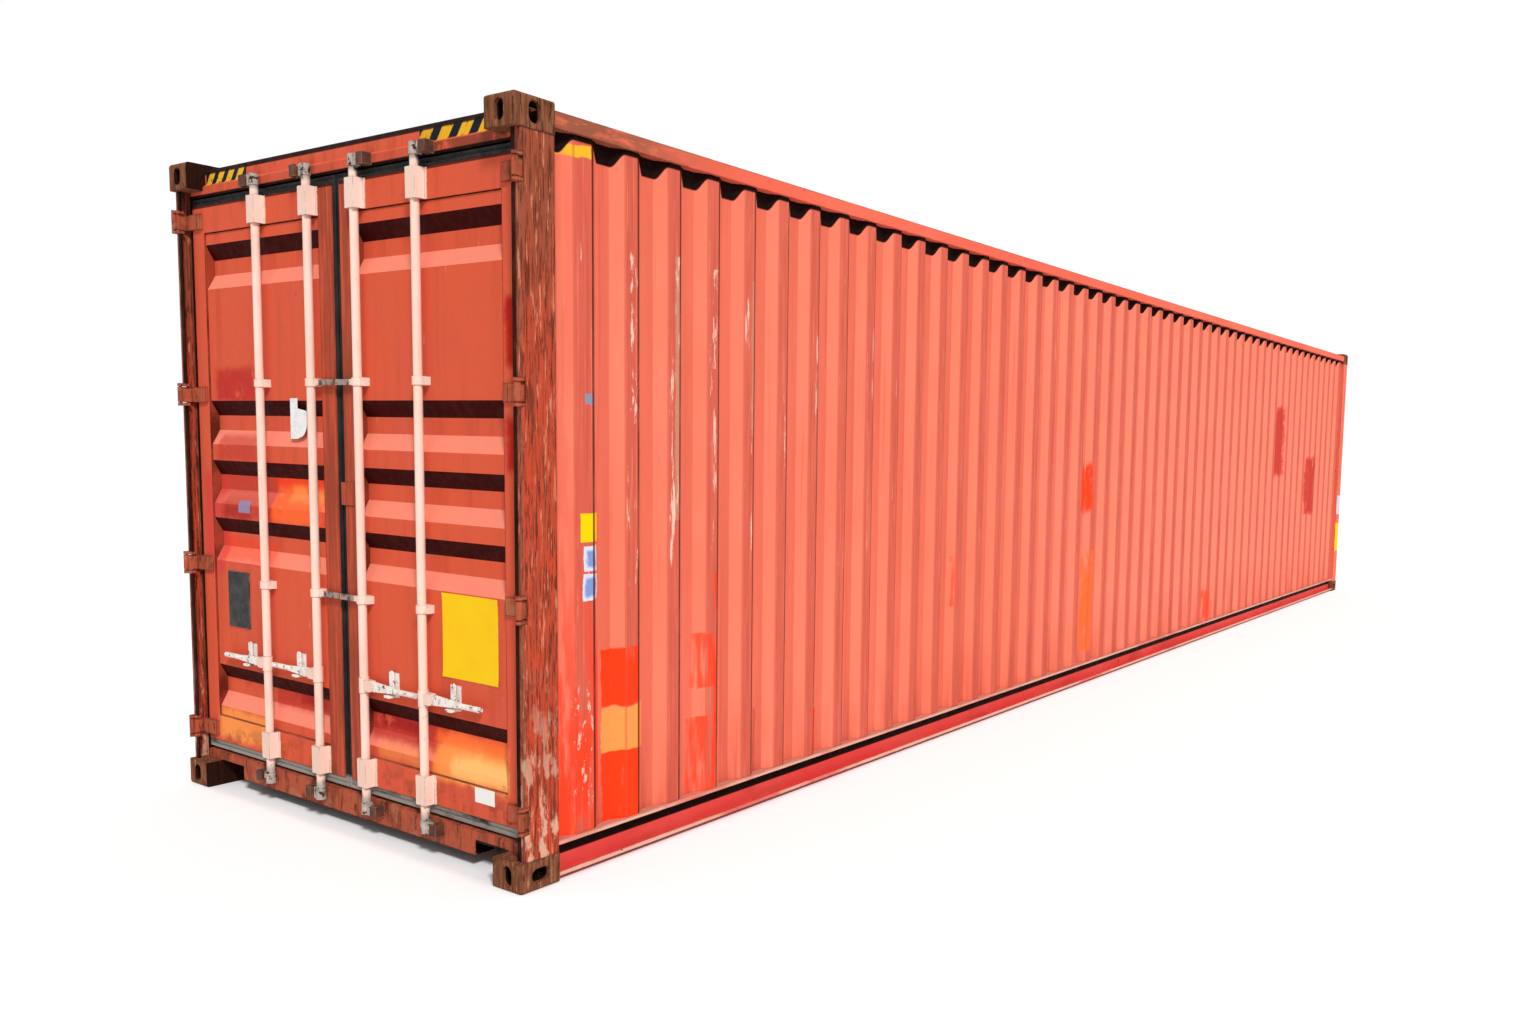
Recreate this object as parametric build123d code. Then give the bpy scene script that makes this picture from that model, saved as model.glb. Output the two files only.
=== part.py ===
"""Forty-foot high-cube freight container with hinged end doors and turning lock rods.

X runs from the door end (-X) to the closed front end (+X), Z is up, and the right
side, as seen by someone facing the doors, is -Y. Lengths are in millimetres.
An inset is measured inward from a side plane, a depth inward from the door-end plane.
"""
import os
from build123d import *

# Overall size
LENGTH = 12192.0
WIDTH = 2438.0
HEIGHT = 2896.0

# Corner fittings
FITTING_LENGTH = 178.0
FITTING_WIDTH = 162.0
FITTING_HEIGHT = 118.0
FITTING_FLOOR = 28.0
FITTING_WALL = 22.0
FITTING_ROUND = 14.0
LOCK_FROM_END = 103.5
LOCK_FROM_SIDE = 89.5
LOCK_SLOT_LENGTH = 124.0
LOCK_SLOT_WIDTH = 63.5
FACE_SLOT_LONG = 79.5
FACE_SLOT_SHORT = 51.0

# Steel thicknesses
SHEET = 2.0
PLATE_STEEL = 4.0
POST_STEEL = 6.0

# Rear posts
POST_INSET = 4.0
POST_FLANGE_DEPTH = 24.0
POST_FLANGE_EDGE = 48.0
POST_BOX_DEPTH = 78.0
JAMB_INSET = 49.0
POST_BEND = 12.0

# Front posts
FRONT_POST_LIP = 52.0

# Side rails
TOP_RAIL_INSET = 4.0
TOP_RAIL_SIZE = 60.0
TOP_RAIL_STEEL = 3.0
TOP_RAIL_DROP = 30.0
BOTTOM_RAIL_INSET = 8.0
BOTTOM_RAIL_BASE = 20.0
BOTTOM_RAIL_TOP = 158.0
BOTTOM_RAIL_FLANGE = 50.0
BOTTOM_RAIL_LIP = 16.0
BOTTOM_RAIL_STEEL = 4.5

# Corrugated side walls
WALL_INSET = 16.0
WALL_RIBS = 51
WALL_RIB_DEPTH = 36.0
WALL_FLAT_SHARE = 0.26
WALL_END_FLAT = 46.0
WALL_END_CREST = 22.0

# Corrugated front wall
FRONT_WALL_INSET = 10.0
FRONT_RIBS = 9
FRONT_RIB_DEPTH = 42.0
FRONT_FLAT_SHARE = 0.42
FRONT_END_FLAT = 60.0

# Roof sheet with pressed cross ribs
ROOF_RIBS = 56
ROOF_RIB_WIDTH = 125.0
ROOF_RIB_RISE = 18.0
ROOF_RIB_MARGIN = 130.0
ROOF_RIB_SLOPE = 45.0
ROOF_EDGE_INSET = 10.0

# Underframe and floor
CROSS_HEIGHT = 122.0
CROSS_BASE = 22.0
CROSS_FLANGE = 45.0
CROSS_STEEL = 4.5
CROSS_PITCH = 300.0
CROSS_FIRST = 260.0
FLOOR_BOARD = 28.0
FLOOR_GAP = 3.0
TUNNEL_LENGTH = 3315.0
TUNNEL_WIDTH = 1029.0
TUNNEL_HEIGHT = 125.0
TUNNEL_FOOT = 60.0
TUNNEL_BOW = 60.0
FRONT_SILL_FLANGE = 60.0

# Door header and sill
HEADER_DROP = 146.0
HEADER_FLANGE = 66.0
HEADER_LIP = 44.0
HEADER_STEP = 12.0
SILL_BASE = 60.0
SILL_TOP = 170.0
SILL_FALL = 10.0
SILL_FLANGE = 86.0
SILL_CUT_LENGTH = 200.0
SILL_CUT_TOP = 122.0

# Door leaves
DOOR_FACE = 70.0
DOOR_THICK = 50.0
DOOR_TOP_GAP = 40.0
DOOR_BOTTOM_GAP = 45.0
DOOR_SIDE_GAP = 13.0
DOOR_SEAM_HALF = 28.0
STILE_WIDTH = 100.0
STILE_STEEL = 3.2
DOOR_RAIL_HEIGHT = 125.0
DOOR_PANEL_STEP = 6.0
GROOVE_SHARES = (0.889, 0.605, 0.495, 0.388, 0.109)
GROOVE_DEPTH = 34.0
GROOVE_SLOPE = 66.0
GROOVE_FLAT = 68.0

# Rubber seal round each leaf
SEAL_SET = 4.0
SEAL_THICK = 16.0
SEAL_CLEAR = 5.0
SEAL_SEAM_HALF = 4.0

# Door hinges
HINGE_COUNT = 4
HINGE_LOW_RISE = 60.0
HINGE_HIGH_DROP = 70.0
PIN_INSET = 14.0
PIN_RADIUS = 6.0
PIN_CLEAR = 0.3
EYE_RADIUS = 12.0
BLADE_HEIGHT = 70.0
BLADE_THICK = 12.0
BLADE_START = 16.0
BLADE_LENGTH = 134.0
LUG_THICK = 14.0
LUG_GAP = 3.0
LUG_EDGE = 40.0
NOTCH_DEPTH = 44.0

# Lock rods, their cams and the keepers
ROD_RADIUS = 17.0
ROD_DEPTH = 47.0
ROD_SHARES = {"inner": 0.126, "outer": 0.484}
CAM_HEIGHT = 48.0
CAM_RADIUS = 20.0
CAM_HEADER_RISE = 2.0
CAM_SILL_DROP = 22.0
CAM_REACH = 44.0
CAM_NOSE = 24.0
KEEPER_GAP = 6.0
KEEPER_LENGTH = 42.0
KEEPER_BACK = 14.0
KEEPER_FRONT_DEPTH = 28.0
KEEPER_FRONT_JAW = 9.0
KEEPER_REAR_JAW = 12.0

# Rod brackets and guides
BRACKET_HEIGHT = 120.0
BRACKET_EDGE = 2.0
BRACKET_STEEL = 3.0
BRACKET_HALF = 45.0
BRACKET_ROOT = 30.0
BRACKET_CREST = 27.0
ROD_CLEAR = 1.0
GUIDE_SHARES = (0.317, 0.675)
GUIDE_HEIGHT = 34.0
GUIDE_STEEL = 4.0
GUIDE_HALF = 15.0
GUIDE_EAR = 40.0
GUIDE_EAR_DEPTH = 30.0
TONGUE_HEIGHT = 24.0
TONGUE_THICK = 8.0
TONGUE_SEAM_HALF = 8.0

# Handles, their hubs and catches
HANDLE_RISE = 435.0
HANDLE_THICK = 10.0
HANDLE_PIVOT = 52.0
HANDLE_TIP_GAP = 47.182
HANDLE_ROOT_RADIUS = 22.0
HANDLE_NECK = 170.0
HANDLE_NECK_HALF = 11.0
GRIP_RADIUS = 11.0
HANDLE_PIN_RADIUS = 6.0
HUB_HEIGHT = 66.0
HUB_RADIUS = 20.0
CHEEK_THICK = 6.0
CHEEK_GAP = 1.0
CHEEK_RADIUS = 24.0
CATCH_OFFSET = 120.0
CATCH_BASE_WIDTH = 60.0
CATCH_BASE_HEIGHT = 100.0
CATCH_SADDLE_WIDTH = 36.0
CATCH_SADDLE_THICK = 10.0
CATCH_TAB_WIDTH = 26.0
CATCH_TAB_HEIGHT = 100.0
CATCH_STEEL = 6.0
CATCH_CLEAR = 6.0

# Small plates on the doors
DATA_PLATE_WIDTH = 183.0
DATA_PLATE_HEIGHT = 260.0
DATA_PLATE_THICK = 4.0
DATA_PLATE_GAP = 109.0
DATA_PLATE_RISE = 565.0
SEAM_PLATE_WIDTH = 94.0
SEAM_PLATE_HEIGHT = 96.0
SEAM_PLATE_THICK = 5.0
SEAM_PLATE_HALF = 6.0
SEAM_PLATE_SHARE = 0.49

# Positions worked out from the sizes above
REAR = -LENGTH / 2
FRONT = LENGTH / 2
RIGHT = -WIDTH / 2
BAY_REAR = REAR + FITTING_LENGTH
BAY_FRONT = FRONT - FITTING_LENGTH
BAY_SIDE = WIDTH / 2 - FITTING_WIDTH
FITTING_UNDER = HEIGHT - FITTING_HEIGHT
ROOF_BASE = HEIGHT - TOP_RAIL_DROP
TOP_RAIL_BASE = ROOF_BASE - TOP_RAIL_SIZE
RAIL_WEB_INSET = BOTTOM_RAIL_INSET + BOTTOM_RAIL_FLANGE
FLOOR_BASE = CROSS_BASE + CROSS_HEIGHT
HEADER_BASE = HEIGHT - HEADER_DROP
DOOR_TOP = HEADER_BASE - DOOR_TOP_GAP
DOOR_BOTTOM = SILL_TOP + DOOR_BOTTOM_GAP
DOOR_HEIGHT = DOOR_TOP - DOOR_BOTTOM
DOOR_OUTER = RIGHT + JAMB_INSET + DOOR_SIDE_GAP
DOOR_WIDTH = -DOOR_SEAM_HALF - DOOR_OUTER
PANEL_OUTER = DOOR_OUTER + STILE_WIDTH
PANEL_INNER = -DOOR_SEAM_HALF - STILE_WIDTH
DOOR_PLANE = REAR + DOOR_FACE
DOOR_BACK = DOOR_PLANE + DOOR_THICK
PANEL_PLANE = DOOR_PLANE + DOOR_PANEL_STEP
ROD_PLANE = REAR + ROD_DEPTH
ROD_STEP = (ROD_SHARES["outer"] - ROD_SHARES["inner"]) * DOOR_WIDTH
HANDLE_LENGTH = ROD_STEP - HANDLE_PIVOT - HANDLE_TIP_GAP
HANDLE_Z = DOOR_BOTTOM + HANDLE_RISE
CAM_BASES = (SILL_TOP - CAM_SILL_DROP - CAM_HEIGHT, HEADER_BASE + CAM_HEADER_RISE)
HINGE_SPAN = DOOR_HEIGHT - HINGE_LOW_RISE - HINGE_HIGH_DROP
HINGE_STEP = HINGE_SPAN / (HINGE_COUNT - 1)
HINGE_ZS = [DOOR_BOTTOM + HINGE_LOW_RISE + step * HINGE_STEP for step in range(HINGE_COUNT)]
NOTCH_HALF = BLADE_HEIGHT / 2 + LUG_GAP + LUG_THICK


def plan(inset, depth):
    """Point in plan beside the right side plane and the door-end plane."""
    return (REAR + depth, RIGHT + inset)


def along_x(profile, start, end):
    """Solid made by running a (y, z) profile between two X positions."""
    face = Plane.YZ.offset(start) * profile
    return extrude(face, amount=end - start, dir=(1, 0, 0))


def along_y(profile, start, end):
    """Solid made by running an (x, z) profile between two Y positions."""
    face = Pos(0, start, 0) * (Plane.XZ * profile)
    return extrude(face, amount=end - start, dir=(0, 1, 0))


def along_z(profile, start, end):
    """Solid made by running an (x, y) profile between two heights."""
    face = Pos(0, 0, start) * profile
    return extrude(face, amount=end - start, dir=(0, 0, 1))


def between(low, high):
    """Rectangle between two opposite corners."""
    middle = ((high[0] + low[0]) / 2, (high[1] + low[1]) / 2)
    return Pos(*middle) * Rectangle(abs(high[0] - low[0]), abs(high[1] - low[1]))


def block(x_limits, y_limits, z_limits):
    """Box between pairs of limits."""
    low, high = zip(x_limits, y_limits)
    return along_z(between(low, high), *z_limits)


def bent_sheet(points, thickness):
    """Profile of a sheet of even thickness, laid on the left of a run of points."""
    run = [Vector(*point) for point in points]
    normals = []
    for a, b in zip(run, run[1:]):
        step = (b - a).normalized()
        normals.append(Vector(-step.Y, step.X))
    shifts = [normals[0]]
    for n, m in zip(normals, normals[1:]):
        shifts.append((n + m) * (1 / (1 + n.dot(m))))
    shifts.append(normals[-1])
    back = [point + shift * thickness for point, shift in zip(run, shifts)]
    return Polygon(*run, *reversed(back))


def round_corner(profile, point, radius):
    """Profile with the corner nearest to a point rounded."""
    corner = profile.vertices().sort_by_distance(Vector(*point))[0]
    return fillet(corner, radius)


def rib_run(start, end, ribs, flat_share, end_flat, end_crest, outer, inner):
    """Points of a corrugated run that starts and ends on its inner flat."""
    pitch = (end - start - 2 * end_flat - 2 * end_crest) / (ribs - flat_share)
    flat = pitch * flat_share
    slope = (pitch - 2 * flat) / 2
    points = [(start, inner)]
    at = start + end_flat
    for rib in range(ribs):
        crest = flat + (end_crest if rib in (0, ribs - 1) else 0)
        points.append((at, inner))
        points.append((at + slope, outer))
        points.append((at + slope + crest, outer))
        points.append((at + 2 * slope + crest, inner))
        at += 2 * slope + crest + flat
    points.append((end, inner))
    return points


def left(part):
    """The same piece on the left side."""
    return mirror(part, about=Plane.XZ)


def both_sides(parts):
    """Pieces of the right side together with their left-hand twins."""
    return parts + [left(part) for part in parts]


def save(name, *parts):
    """Write one node, made of one solid or of several that stand apart."""
    solids = [solid for part in parts for solid in part.solids()]
    export_step(Compound(solids), f"parts/{name}.step")


def corner_fitting(side_slot_turn):
    """Hollow cast corner, made with its outer corner at the origin."""
    near = (Align.MIN, Align.MIN, Align.MIN)
    body = Box(FITTING_LENGTH, FITTING_WIDTH, FITTING_HEIGHT, align=near)
    outer_edges = []
    for edge in body.edges():
        middle = edge.center()
        if sum(abs(value) < 0.1 for value in (middle.X, middle.Y, middle.Z)) == 2:
            outer_edges.append(edge)
    body = fillet(outer_edges, FITTING_ROUND)
    body -= block(
        (FITTING_WALL, FITTING_LENGTH - FITTING_WALL),
        (FITTING_WALL, FITTING_WIDTH - FITTING_WALL),
        (FITTING_FLOOR, FITTING_HEIGHT - FITTING_FLOOR),
    )
    lock_slot = SlotOverall(LOCK_SLOT_LENGTH, LOCK_SLOT_WIDTH)
    body -= along_z(Pos(LOCK_FROM_END, LOCK_FROM_SIDE) * lock_slot, 0, FITTING_FLOOR)
    middle_z = FITTING_HEIGHT / 2
    face_slot = SlotOverall(FACE_SLOT_LONG, FACE_SLOT_SHORT, rotation=90)
    body -= along_x(Pos(FITTING_WIDTH / 2, middle_z) * face_slot, 0, FITTING_WALL)
    side_slot = SlotOverall(FACE_SLOT_LONG, FACE_SLOT_SHORT, rotation=side_slot_turn)
    body -= along_y(Pos(FITTING_LENGTH / 2, middle_z) * side_slot, 0, FITTING_WALL)
    return Pos(REAR, RIGHT, 0) * body


def four_corners(solid):
    """A rear right piece repeated at the four corners."""
    pair = both_sides([solid])
    return pair + [mirror(piece, about=Plane.YZ) for piece in pair]


def rear_post():
    """Folded door post with a closed box beside the door edge, notched at the hinges."""
    skin = POST_INSET + POST_STEEL
    flange = POST_FLANGE_DEPTH + POST_STEEL
    outline = Polygon(
        plan(POST_INSET, POST_FLANGE_DEPTH),
        plan(POST_INSET, FITTING_LENGTH),
        plan(JAMB_INSET, FITTING_LENGTH),
        plan(JAMB_INSET, POST_BOX_DEPTH),
        plan(skin, POST_BOX_DEPTH),
        plan(skin, flange),
        plan(POST_FLANGE_EDGE, flange),
        plan(POST_FLANGE_EDGE, POST_FLANGE_DEPTH),
    )
    outline = round_corner(outline, plan(POST_INSET, POST_FLANGE_DEPTH), POST_BEND)
    outline = round_corner(outline, plan(skin, flange), POST_BEND - POST_STEEL)
    hollow = between(
        plan(skin, POST_BOX_DEPTH + POST_STEEL),
        plan(JAMB_INSET - POST_STEEL, FITTING_LENGTH - POST_STEEL),
    )
    post = along_z(outline - hollow, FITTING_HEIGHT, FITTING_UNDER)
    notch = between(plan(0, 0), plan(POST_FLANGE_EDGE, NOTCH_DEPTH))
    for height in HINGE_ZS:
        post -= along_z(notch, height - NOTCH_HALF, height + NOTCH_HALF)
    return post


def front_post():
    """Folded corner post at the closed end."""
    side = RIGHT + POST_INSET
    face = FRONT - POST_INSET
    run = [
        (BAY_FRONT, side + FRONT_POST_LIP),
        (BAY_FRONT, side),
        (face, side),
        (face, RIGHT + FITTING_WIDTH),
        (face - FRONT_POST_LIP, RIGHT + FITTING_WIDTH),
    ]
    profile = bent_sheet(run, POST_STEEL)
    profile = round_corner(profile, (face, side), POST_BEND)
    profile = round_corner(profile, (face - POST_STEEL, side + POST_STEEL), POST_BEND - POST_STEEL)
    return along_z(profile, FITTING_HEIGHT, FITTING_UNDER)


def top_rail():
    """Square tube along the upper edge of a side wall."""
    outer = RIGHT + TOP_RAIL_INSET
    tube = between((outer, TOP_RAIL_BASE), (outer + TOP_RAIL_SIZE, ROOF_BASE))
    bore = between(
        (outer + TOP_RAIL_STEEL, TOP_RAIL_BASE + TOP_RAIL_STEEL),
        (outer + TOP_RAIL_SIZE - TOP_RAIL_STEEL, ROOF_BASE - TOP_RAIL_STEEL),
    )
    return along_x(tube - bore, BAY_REAR, BAY_FRONT)


def bottom_rail():
    """Lipped channel that opens outward along the lower edge of a side wall."""
    outer = RIGHT + BOTTOM_RAIL_INSET
    web = RIGHT + RAIL_WEB_INSET
    run = [
        (outer, BOTTOM_RAIL_BASE + BOTTOM_RAIL_LIP),
        (outer, BOTTOM_RAIL_BASE),
        (web, BOTTOM_RAIL_BASE),
        (web, BOTTOM_RAIL_TOP),
        (outer, BOTTOM_RAIL_TOP),
        (outer, BOTTOM_RAIL_TOP - BOTTOM_RAIL_LIP),
    ]
    return along_x(bent_sheet(run, BOTTOM_RAIL_STEEL), BAY_REAR, BAY_FRONT)


def side_wall():
    """Side sheet with upright corrugations."""
    outer = RIGHT + WALL_INSET
    inner = outer + WALL_RIB_DEPTH
    shape = (WALL_RIBS, WALL_FLAT_SHARE, WALL_END_FLAT, WALL_END_CREST)
    run = rib_run(BAY_REAR, BAY_FRONT, *shape, outer, inner)
    return along_z(bent_sheet(run, SHEET), BOTTOM_RAIL_TOP, TOP_RAIL_BASE)


def front_wall():
    """Closed end sheet with upright corrugations."""
    outer = FRONT - FRONT_WALL_INSET
    inner = outer - FRONT_RIB_DEPTH
    shape = (FRONT_RIBS, FRONT_FLAT_SHARE, FRONT_END_FLAT, 0)
    run = rib_run(-BAY_SIDE, BAY_SIDE, *shape, outer, inner)
    profile = bent_sheet([(x, y) for y, x in run], SHEET)
    return along_z(profile, BOTTOM_RAIL_TOP, TOP_RAIL_BASE)


def roof():
    """Flat sheet with hollow pressed ribs across it."""
    half = WIDTH / 2 - ROOF_EDGE_INSET
    sheet = block((BAY_REAR, BAY_FRONT), (-half, half), (ROOF_BASE, ROOF_BASE + SHEET))
    rib = Rectangle(ROOF_RIB_WIDTH, 2 * half - 2 * ROOF_RIB_MARGIN)
    rise = extrude(rib, amount=ROOF_RIB_RISE, taper=ROOF_RIB_SLOPE)
    places = GridLocations((BAY_FRONT - BAY_REAR) / ROOF_RIBS, 0, ROOF_RIBS, 1)
    raised = [Pos(0, 0, ROOF_BASE + SHEET) * place * rise for place in places]
    hollows = [Pos(0, 0, ROOF_BASE) * place * rise for place in places]
    return (sheet + raised) - hollows


def door_header():
    """Bent plate over the doors with a proud lower lip, cut round the top fittings."""
    lip_top = HEADER_BASE + HEADER_LIP
    run = [
        (BAY_REAR, ROOF_BASE + PLATE_STEEL),
        (DOOR_PLANE + HEADER_STEP, ROOF_BASE + PLATE_STEEL),
        (DOOR_PLANE + HEADER_STEP, lip_top + HEADER_STEP),
        (DOOR_PLANE, lip_top),
        (DOOR_PLANE, HEADER_BASE),
        (DOOR_PLANE + HEADER_FLANGE, HEADER_BASE),
    ]
    half = WIDTH / 2 - JAMB_INSET
    plate = along_y(bent_sheet(run, PLATE_STEEL), -half, half)
    corner = block((REAR, BAY_REAR), (RIGHT, -BAY_SIDE), (FITTING_UNDER, HEIGHT))
    return plate - both_sides([corner])


def door_sill():
    """Bent plate under the doors, cut round the bottom fittings and open at its ends."""
    run = [
        (DOOR_PLANE + SILL_FLANGE, SILL_TOP),
        (DOOR_PLANE, SILL_TOP - SILL_FALL),
        (DOOR_PLANE, SILL_BASE),
        (DOOR_PLANE + SILL_FLANGE, SILL_BASE),
    ]
    half = WIDTH / 2 - JAMB_INSET
    plate = along_y(bent_sheet(run, PLATE_STEEL), -half, half)
    corner = block((REAR, BAY_REAR), (RIGHT, -BAY_SIDE), (0, FITTING_HEIGHT))
    cut = block((REAR, BAY_REAR), (-BAY_SIDE, SILL_CUT_LENGTH - BAY_SIDE), (0, SILL_CUT_TOP))
    return plate - both_sides([corner, cut])


def front_header():
    """Tube over the closed end with a plate that carries the roof's edge."""
    outer = FRONT - TOP_RAIL_INSET
    inner = outer - TOP_RAIL_SIZE
    tube = between((inner, TOP_RAIL_BASE), (outer, ROOF_BASE))
    bore = between(
        (inner + TOP_RAIL_STEEL, TOP_RAIL_BASE + TOP_RAIL_STEEL),
        (outer - TOP_RAIL_STEEL, ROOF_BASE - TOP_RAIL_STEEL),
    )
    plate = between((BAY_FRONT, ROOF_BASE), (outer, ROOF_BASE + PLATE_STEEL))
    return along_y(tube + plate - bore, -BAY_SIDE, BAY_SIDE)


def front_sill():
    """Channel under the closed end, open over the tunnel."""
    face = FRONT - BOTTOM_RAIL_INSET
    run = [
        (face - FRONT_SILL_FLANGE, BOTTOM_RAIL_BASE),
        (face, BOTTOM_RAIL_BASE),
        (face, BOTTOM_RAIL_TOP),
        (face - FRONT_SILL_FLANGE, BOTTOM_RAIL_TOP),
    ]
    channel = along_y(bent_sheet(run, BOTTOM_RAIL_STEEL), -BAY_SIDE, BAY_SIDE)
    half = TUNNEL_WIDTH / 2
    return channel - block((BAY_FRONT, FRONT), (-half, half), (0, TUNNEL_HEIGHT))


def cross_profile():
    """C-section of the floor's cross members."""
    run = [
        (CROSS_FLANGE, FLOOR_BASE),
        (0, FLOOR_BASE),
        (0, CROSS_BASE),
        (CROSS_FLANGE, CROSS_BASE),
    ]
    return bent_sheet(run, CROSS_STEEL)


def crossmembers():
    """Cross members over the full width, and short ones beside the tunnel."""
    reach = WIDTH / 2 - RAIL_WEB_INSET
    tunnel_side = TUNNEL_WIDTH / 2 + PLATE_STEEL
    tunnel_start = FRONT - TUNNEL_LENGTH
    last = FRONT - BOTTOM_RAIL_INSET - FRONT_SILL_FLANGE - CROSS_FLANGE
    members = []
    at = REAR + CROSS_FIRST
    while at < last:
        profile = Pos(at, 0) * cross_profile()
        if at + CROSS_FLANGE < tunnel_start:
            members.append(along_y(profile, -reach, reach))
        elif at > tunnel_start:
            members.extend(both_sides([along_y(profile, -reach, -tunnel_side)]))
        at += CROSS_PITCH
    return members


def gooseneck_tunnel():
    """Folded tunnel plate under the front of the floor, with flat bows over it."""
    half = TUNNEL_WIDTH / 2
    foot = CROSS_BASE - PLATE_STEEL
    run = [
        (-half - TUNNEL_FOOT, foot),
        (-half, foot),
        (-half, TUNNEL_HEIGHT),
        (half, TUNNEL_HEIGHT),
        (half, foot),
        (half + TUNNEL_FOOT, foot),
    ]
    start = FRONT - TUNNEL_LENGTH
    end = FRONT - BOTTOM_RAIL_INSET - FRONT_SILL_FLANGE - FLOOR_GAP
    tunnel = along_x(bent_sheet(run, PLATE_STEEL), start, end)
    bow_heights = (TUNNEL_HEIGHT + PLATE_STEEL, FLOOR_BASE)
    at = start
    while at + TUNNEL_BOW < end:
        tunnel += block((at, at + TUNNEL_BOW), (-half, half), bow_heights)
        at += CROSS_PITCH
    return tunnel


def floor():
    """Boarded floor between the sill and the front wall."""
    half = WIDTH / 2 - RAIL_WEB_INSET - FLOOR_GAP
    start = DOOR_PLANE + SILL_FLANGE + FLOOR_GAP
    end = FRONT - BOTTOM_RAIL_INSET - FRONT_SILL_FLANGE - FLOOR_GAP
    return block((start, end), (-half, half), (FLOOR_BASE, FLOOR_BASE + FLOOR_BOARD))


def hinge_lugs():
    """Lug pairs set into the right post's notches, each with its hinge pin."""
    outline = Polygon(
        plan(PIN_INSET - EYE_RADIUS, PIN_INSET),
        plan(POST_INSET, NOTCH_DEPTH),
        plan(LUG_EDGE, NOTCH_DEPTH),
        plan(LUG_EDGE, POST_FLANGE_DEPTH),
        plan(PIN_INSET + EYE_RADIUS, PIN_INSET),
    )
    outline += Pos(*plan(PIN_INSET, PIN_INSET)) * Circle(EYE_RADIUS)
    pin = Pos(*plan(PIN_INSET, PIN_INSET)) * Circle(PIN_RADIUS)
    near = BLADE_HEIGHT / 2 + LUG_GAP
    sets = []
    for height in HINGE_ZS:
        upper = along_z(outline, height + near, height + NOTCH_HALF)
        lower = along_z(outline, height - NOTCH_HALF, height - near)
        sets.append(upper + lower + along_z(pin, height - NOTCH_HALF, height + NOTCH_HALF))
    return sets


def hinge_blades():
    """Cranked hinge blades from the pins to the right door's outer stile."""
    blade_end = BLADE_START + BLADE_LENGTH
    outline = Polygon(
        plan(BLADE_START, DOOR_FACE),
        plan(blade_end, DOOR_FACE),
        plan(blade_end, DOOR_FACE - BLADE_THICK),
        plan(BLADE_START + BLADE_THICK, DOOR_FACE - BLADE_THICK),
        plan(BLADE_START + BLADE_THICK, PIN_INSET),
        plan(BLADE_START, PIN_INSET),
    )
    outline += Pos(*plan(PIN_INSET, PIN_INSET)) * Circle(EYE_RADIUS)
    outline -= Pos(*plan(PIN_INSET, PIN_INSET)) * Circle(PIN_RADIUS + PIN_CLEAR)
    half = BLADE_HEIGHT / 2
    return [along_z(outline, height - half, height + half) for height in HINGE_ZS]


def stile(outer):
    """Upright tube of a door frame, closed at its top."""
    inner = outer + STILE_WIDTH
    tube = between((DOOR_PLANE, outer), (DOOR_BACK, inner))
    bore = between(
        (DOOR_PLANE + STILE_STEEL, outer + STILE_STEEL),
        (DOOR_BACK - STILE_STEEL, inner - STILE_STEEL),
    )
    hollow = along_z(bore, DOOR_BOTTOM, DOOR_TOP - PLATE_STEEL)
    return along_z(tube, DOOR_BOTTOM, DOOR_TOP) - hollow


def door_frame():
    """Tube stiles joined by channel rails, right leaf."""
    frame = stile(DOOR_OUTER) + stile(PANEL_INNER)
    for base in (DOOR_BOTTOM, DOOR_TOP - DOOR_RAIL_HEIGHT):
        run = [
            (DOOR_BACK, base + DOOR_RAIL_HEIGHT),
            (DOOR_PLANE, base + DOOR_RAIL_HEIGHT),
            (DOOR_PLANE, base),
            (DOOR_BACK, base),
        ]
        frame += along_y(bent_sheet(run, PLATE_STEEL), PANEL_OUTER, PANEL_INNER)
    return frame


def door_panel():
    """Right leaf's sheet with level pressed grooves."""
    groove_floor = PANEL_PLANE + GROOVE_DEPTH
    run = [(PANEL_PLANE, DOOR_TOP - DOOR_RAIL_HEIGHT)]
    for share in GROOVE_SHARES:
        middle = DOOR_BOTTOM + share * DOOR_HEIGHT
        half = GROOVE_FLAT / 2
        run.append((PANEL_PLANE, middle + half + GROOVE_SLOPE))
        run.append((groove_floor, middle + half))
        run.append((groove_floor, middle - half))
        run.append((PANEL_PLANE, middle - half - GROOVE_SLOPE))
    run.append((PANEL_PLANE, DOOR_BOTTOM + DOOR_RAIL_HEIGHT))
    return along_y(bent_sheet(run, SHEET), PANEL_OUTER, PANEL_INNER)


def door_seal():
    """Rubber seal round the right leaf."""
    outer = between(
        (RIGHT + JAMB_INSET + SEAL_CLEAR, SILL_TOP + SEAL_CLEAR),
        (-SEAL_SEAM_HALF, HEADER_BASE - SEAL_CLEAR),
    )
    leaf = between((DOOR_OUTER, DOOR_BOTTOM), (-DOOR_SEAM_HALF, DOOR_TOP))
    front = DOOR_PLANE + SEAL_SET
    return along_x(outer - leaf, front, front + SEAL_THICK)


def cam_profile(at):
    """Cam with its nose toward the hinge side, on a right-hand rod."""
    nose = SlotOverall(CAM_REACH + CAM_NOSE / 2, CAM_NOSE, rotation=90)
    shift = (CAM_REACH - CAM_NOSE / 2) / 2
    shape = Circle(CAM_RADIUS) + Pos(0, -shift) * nose
    return Pos(ROD_PLANE, at) * shape


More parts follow.
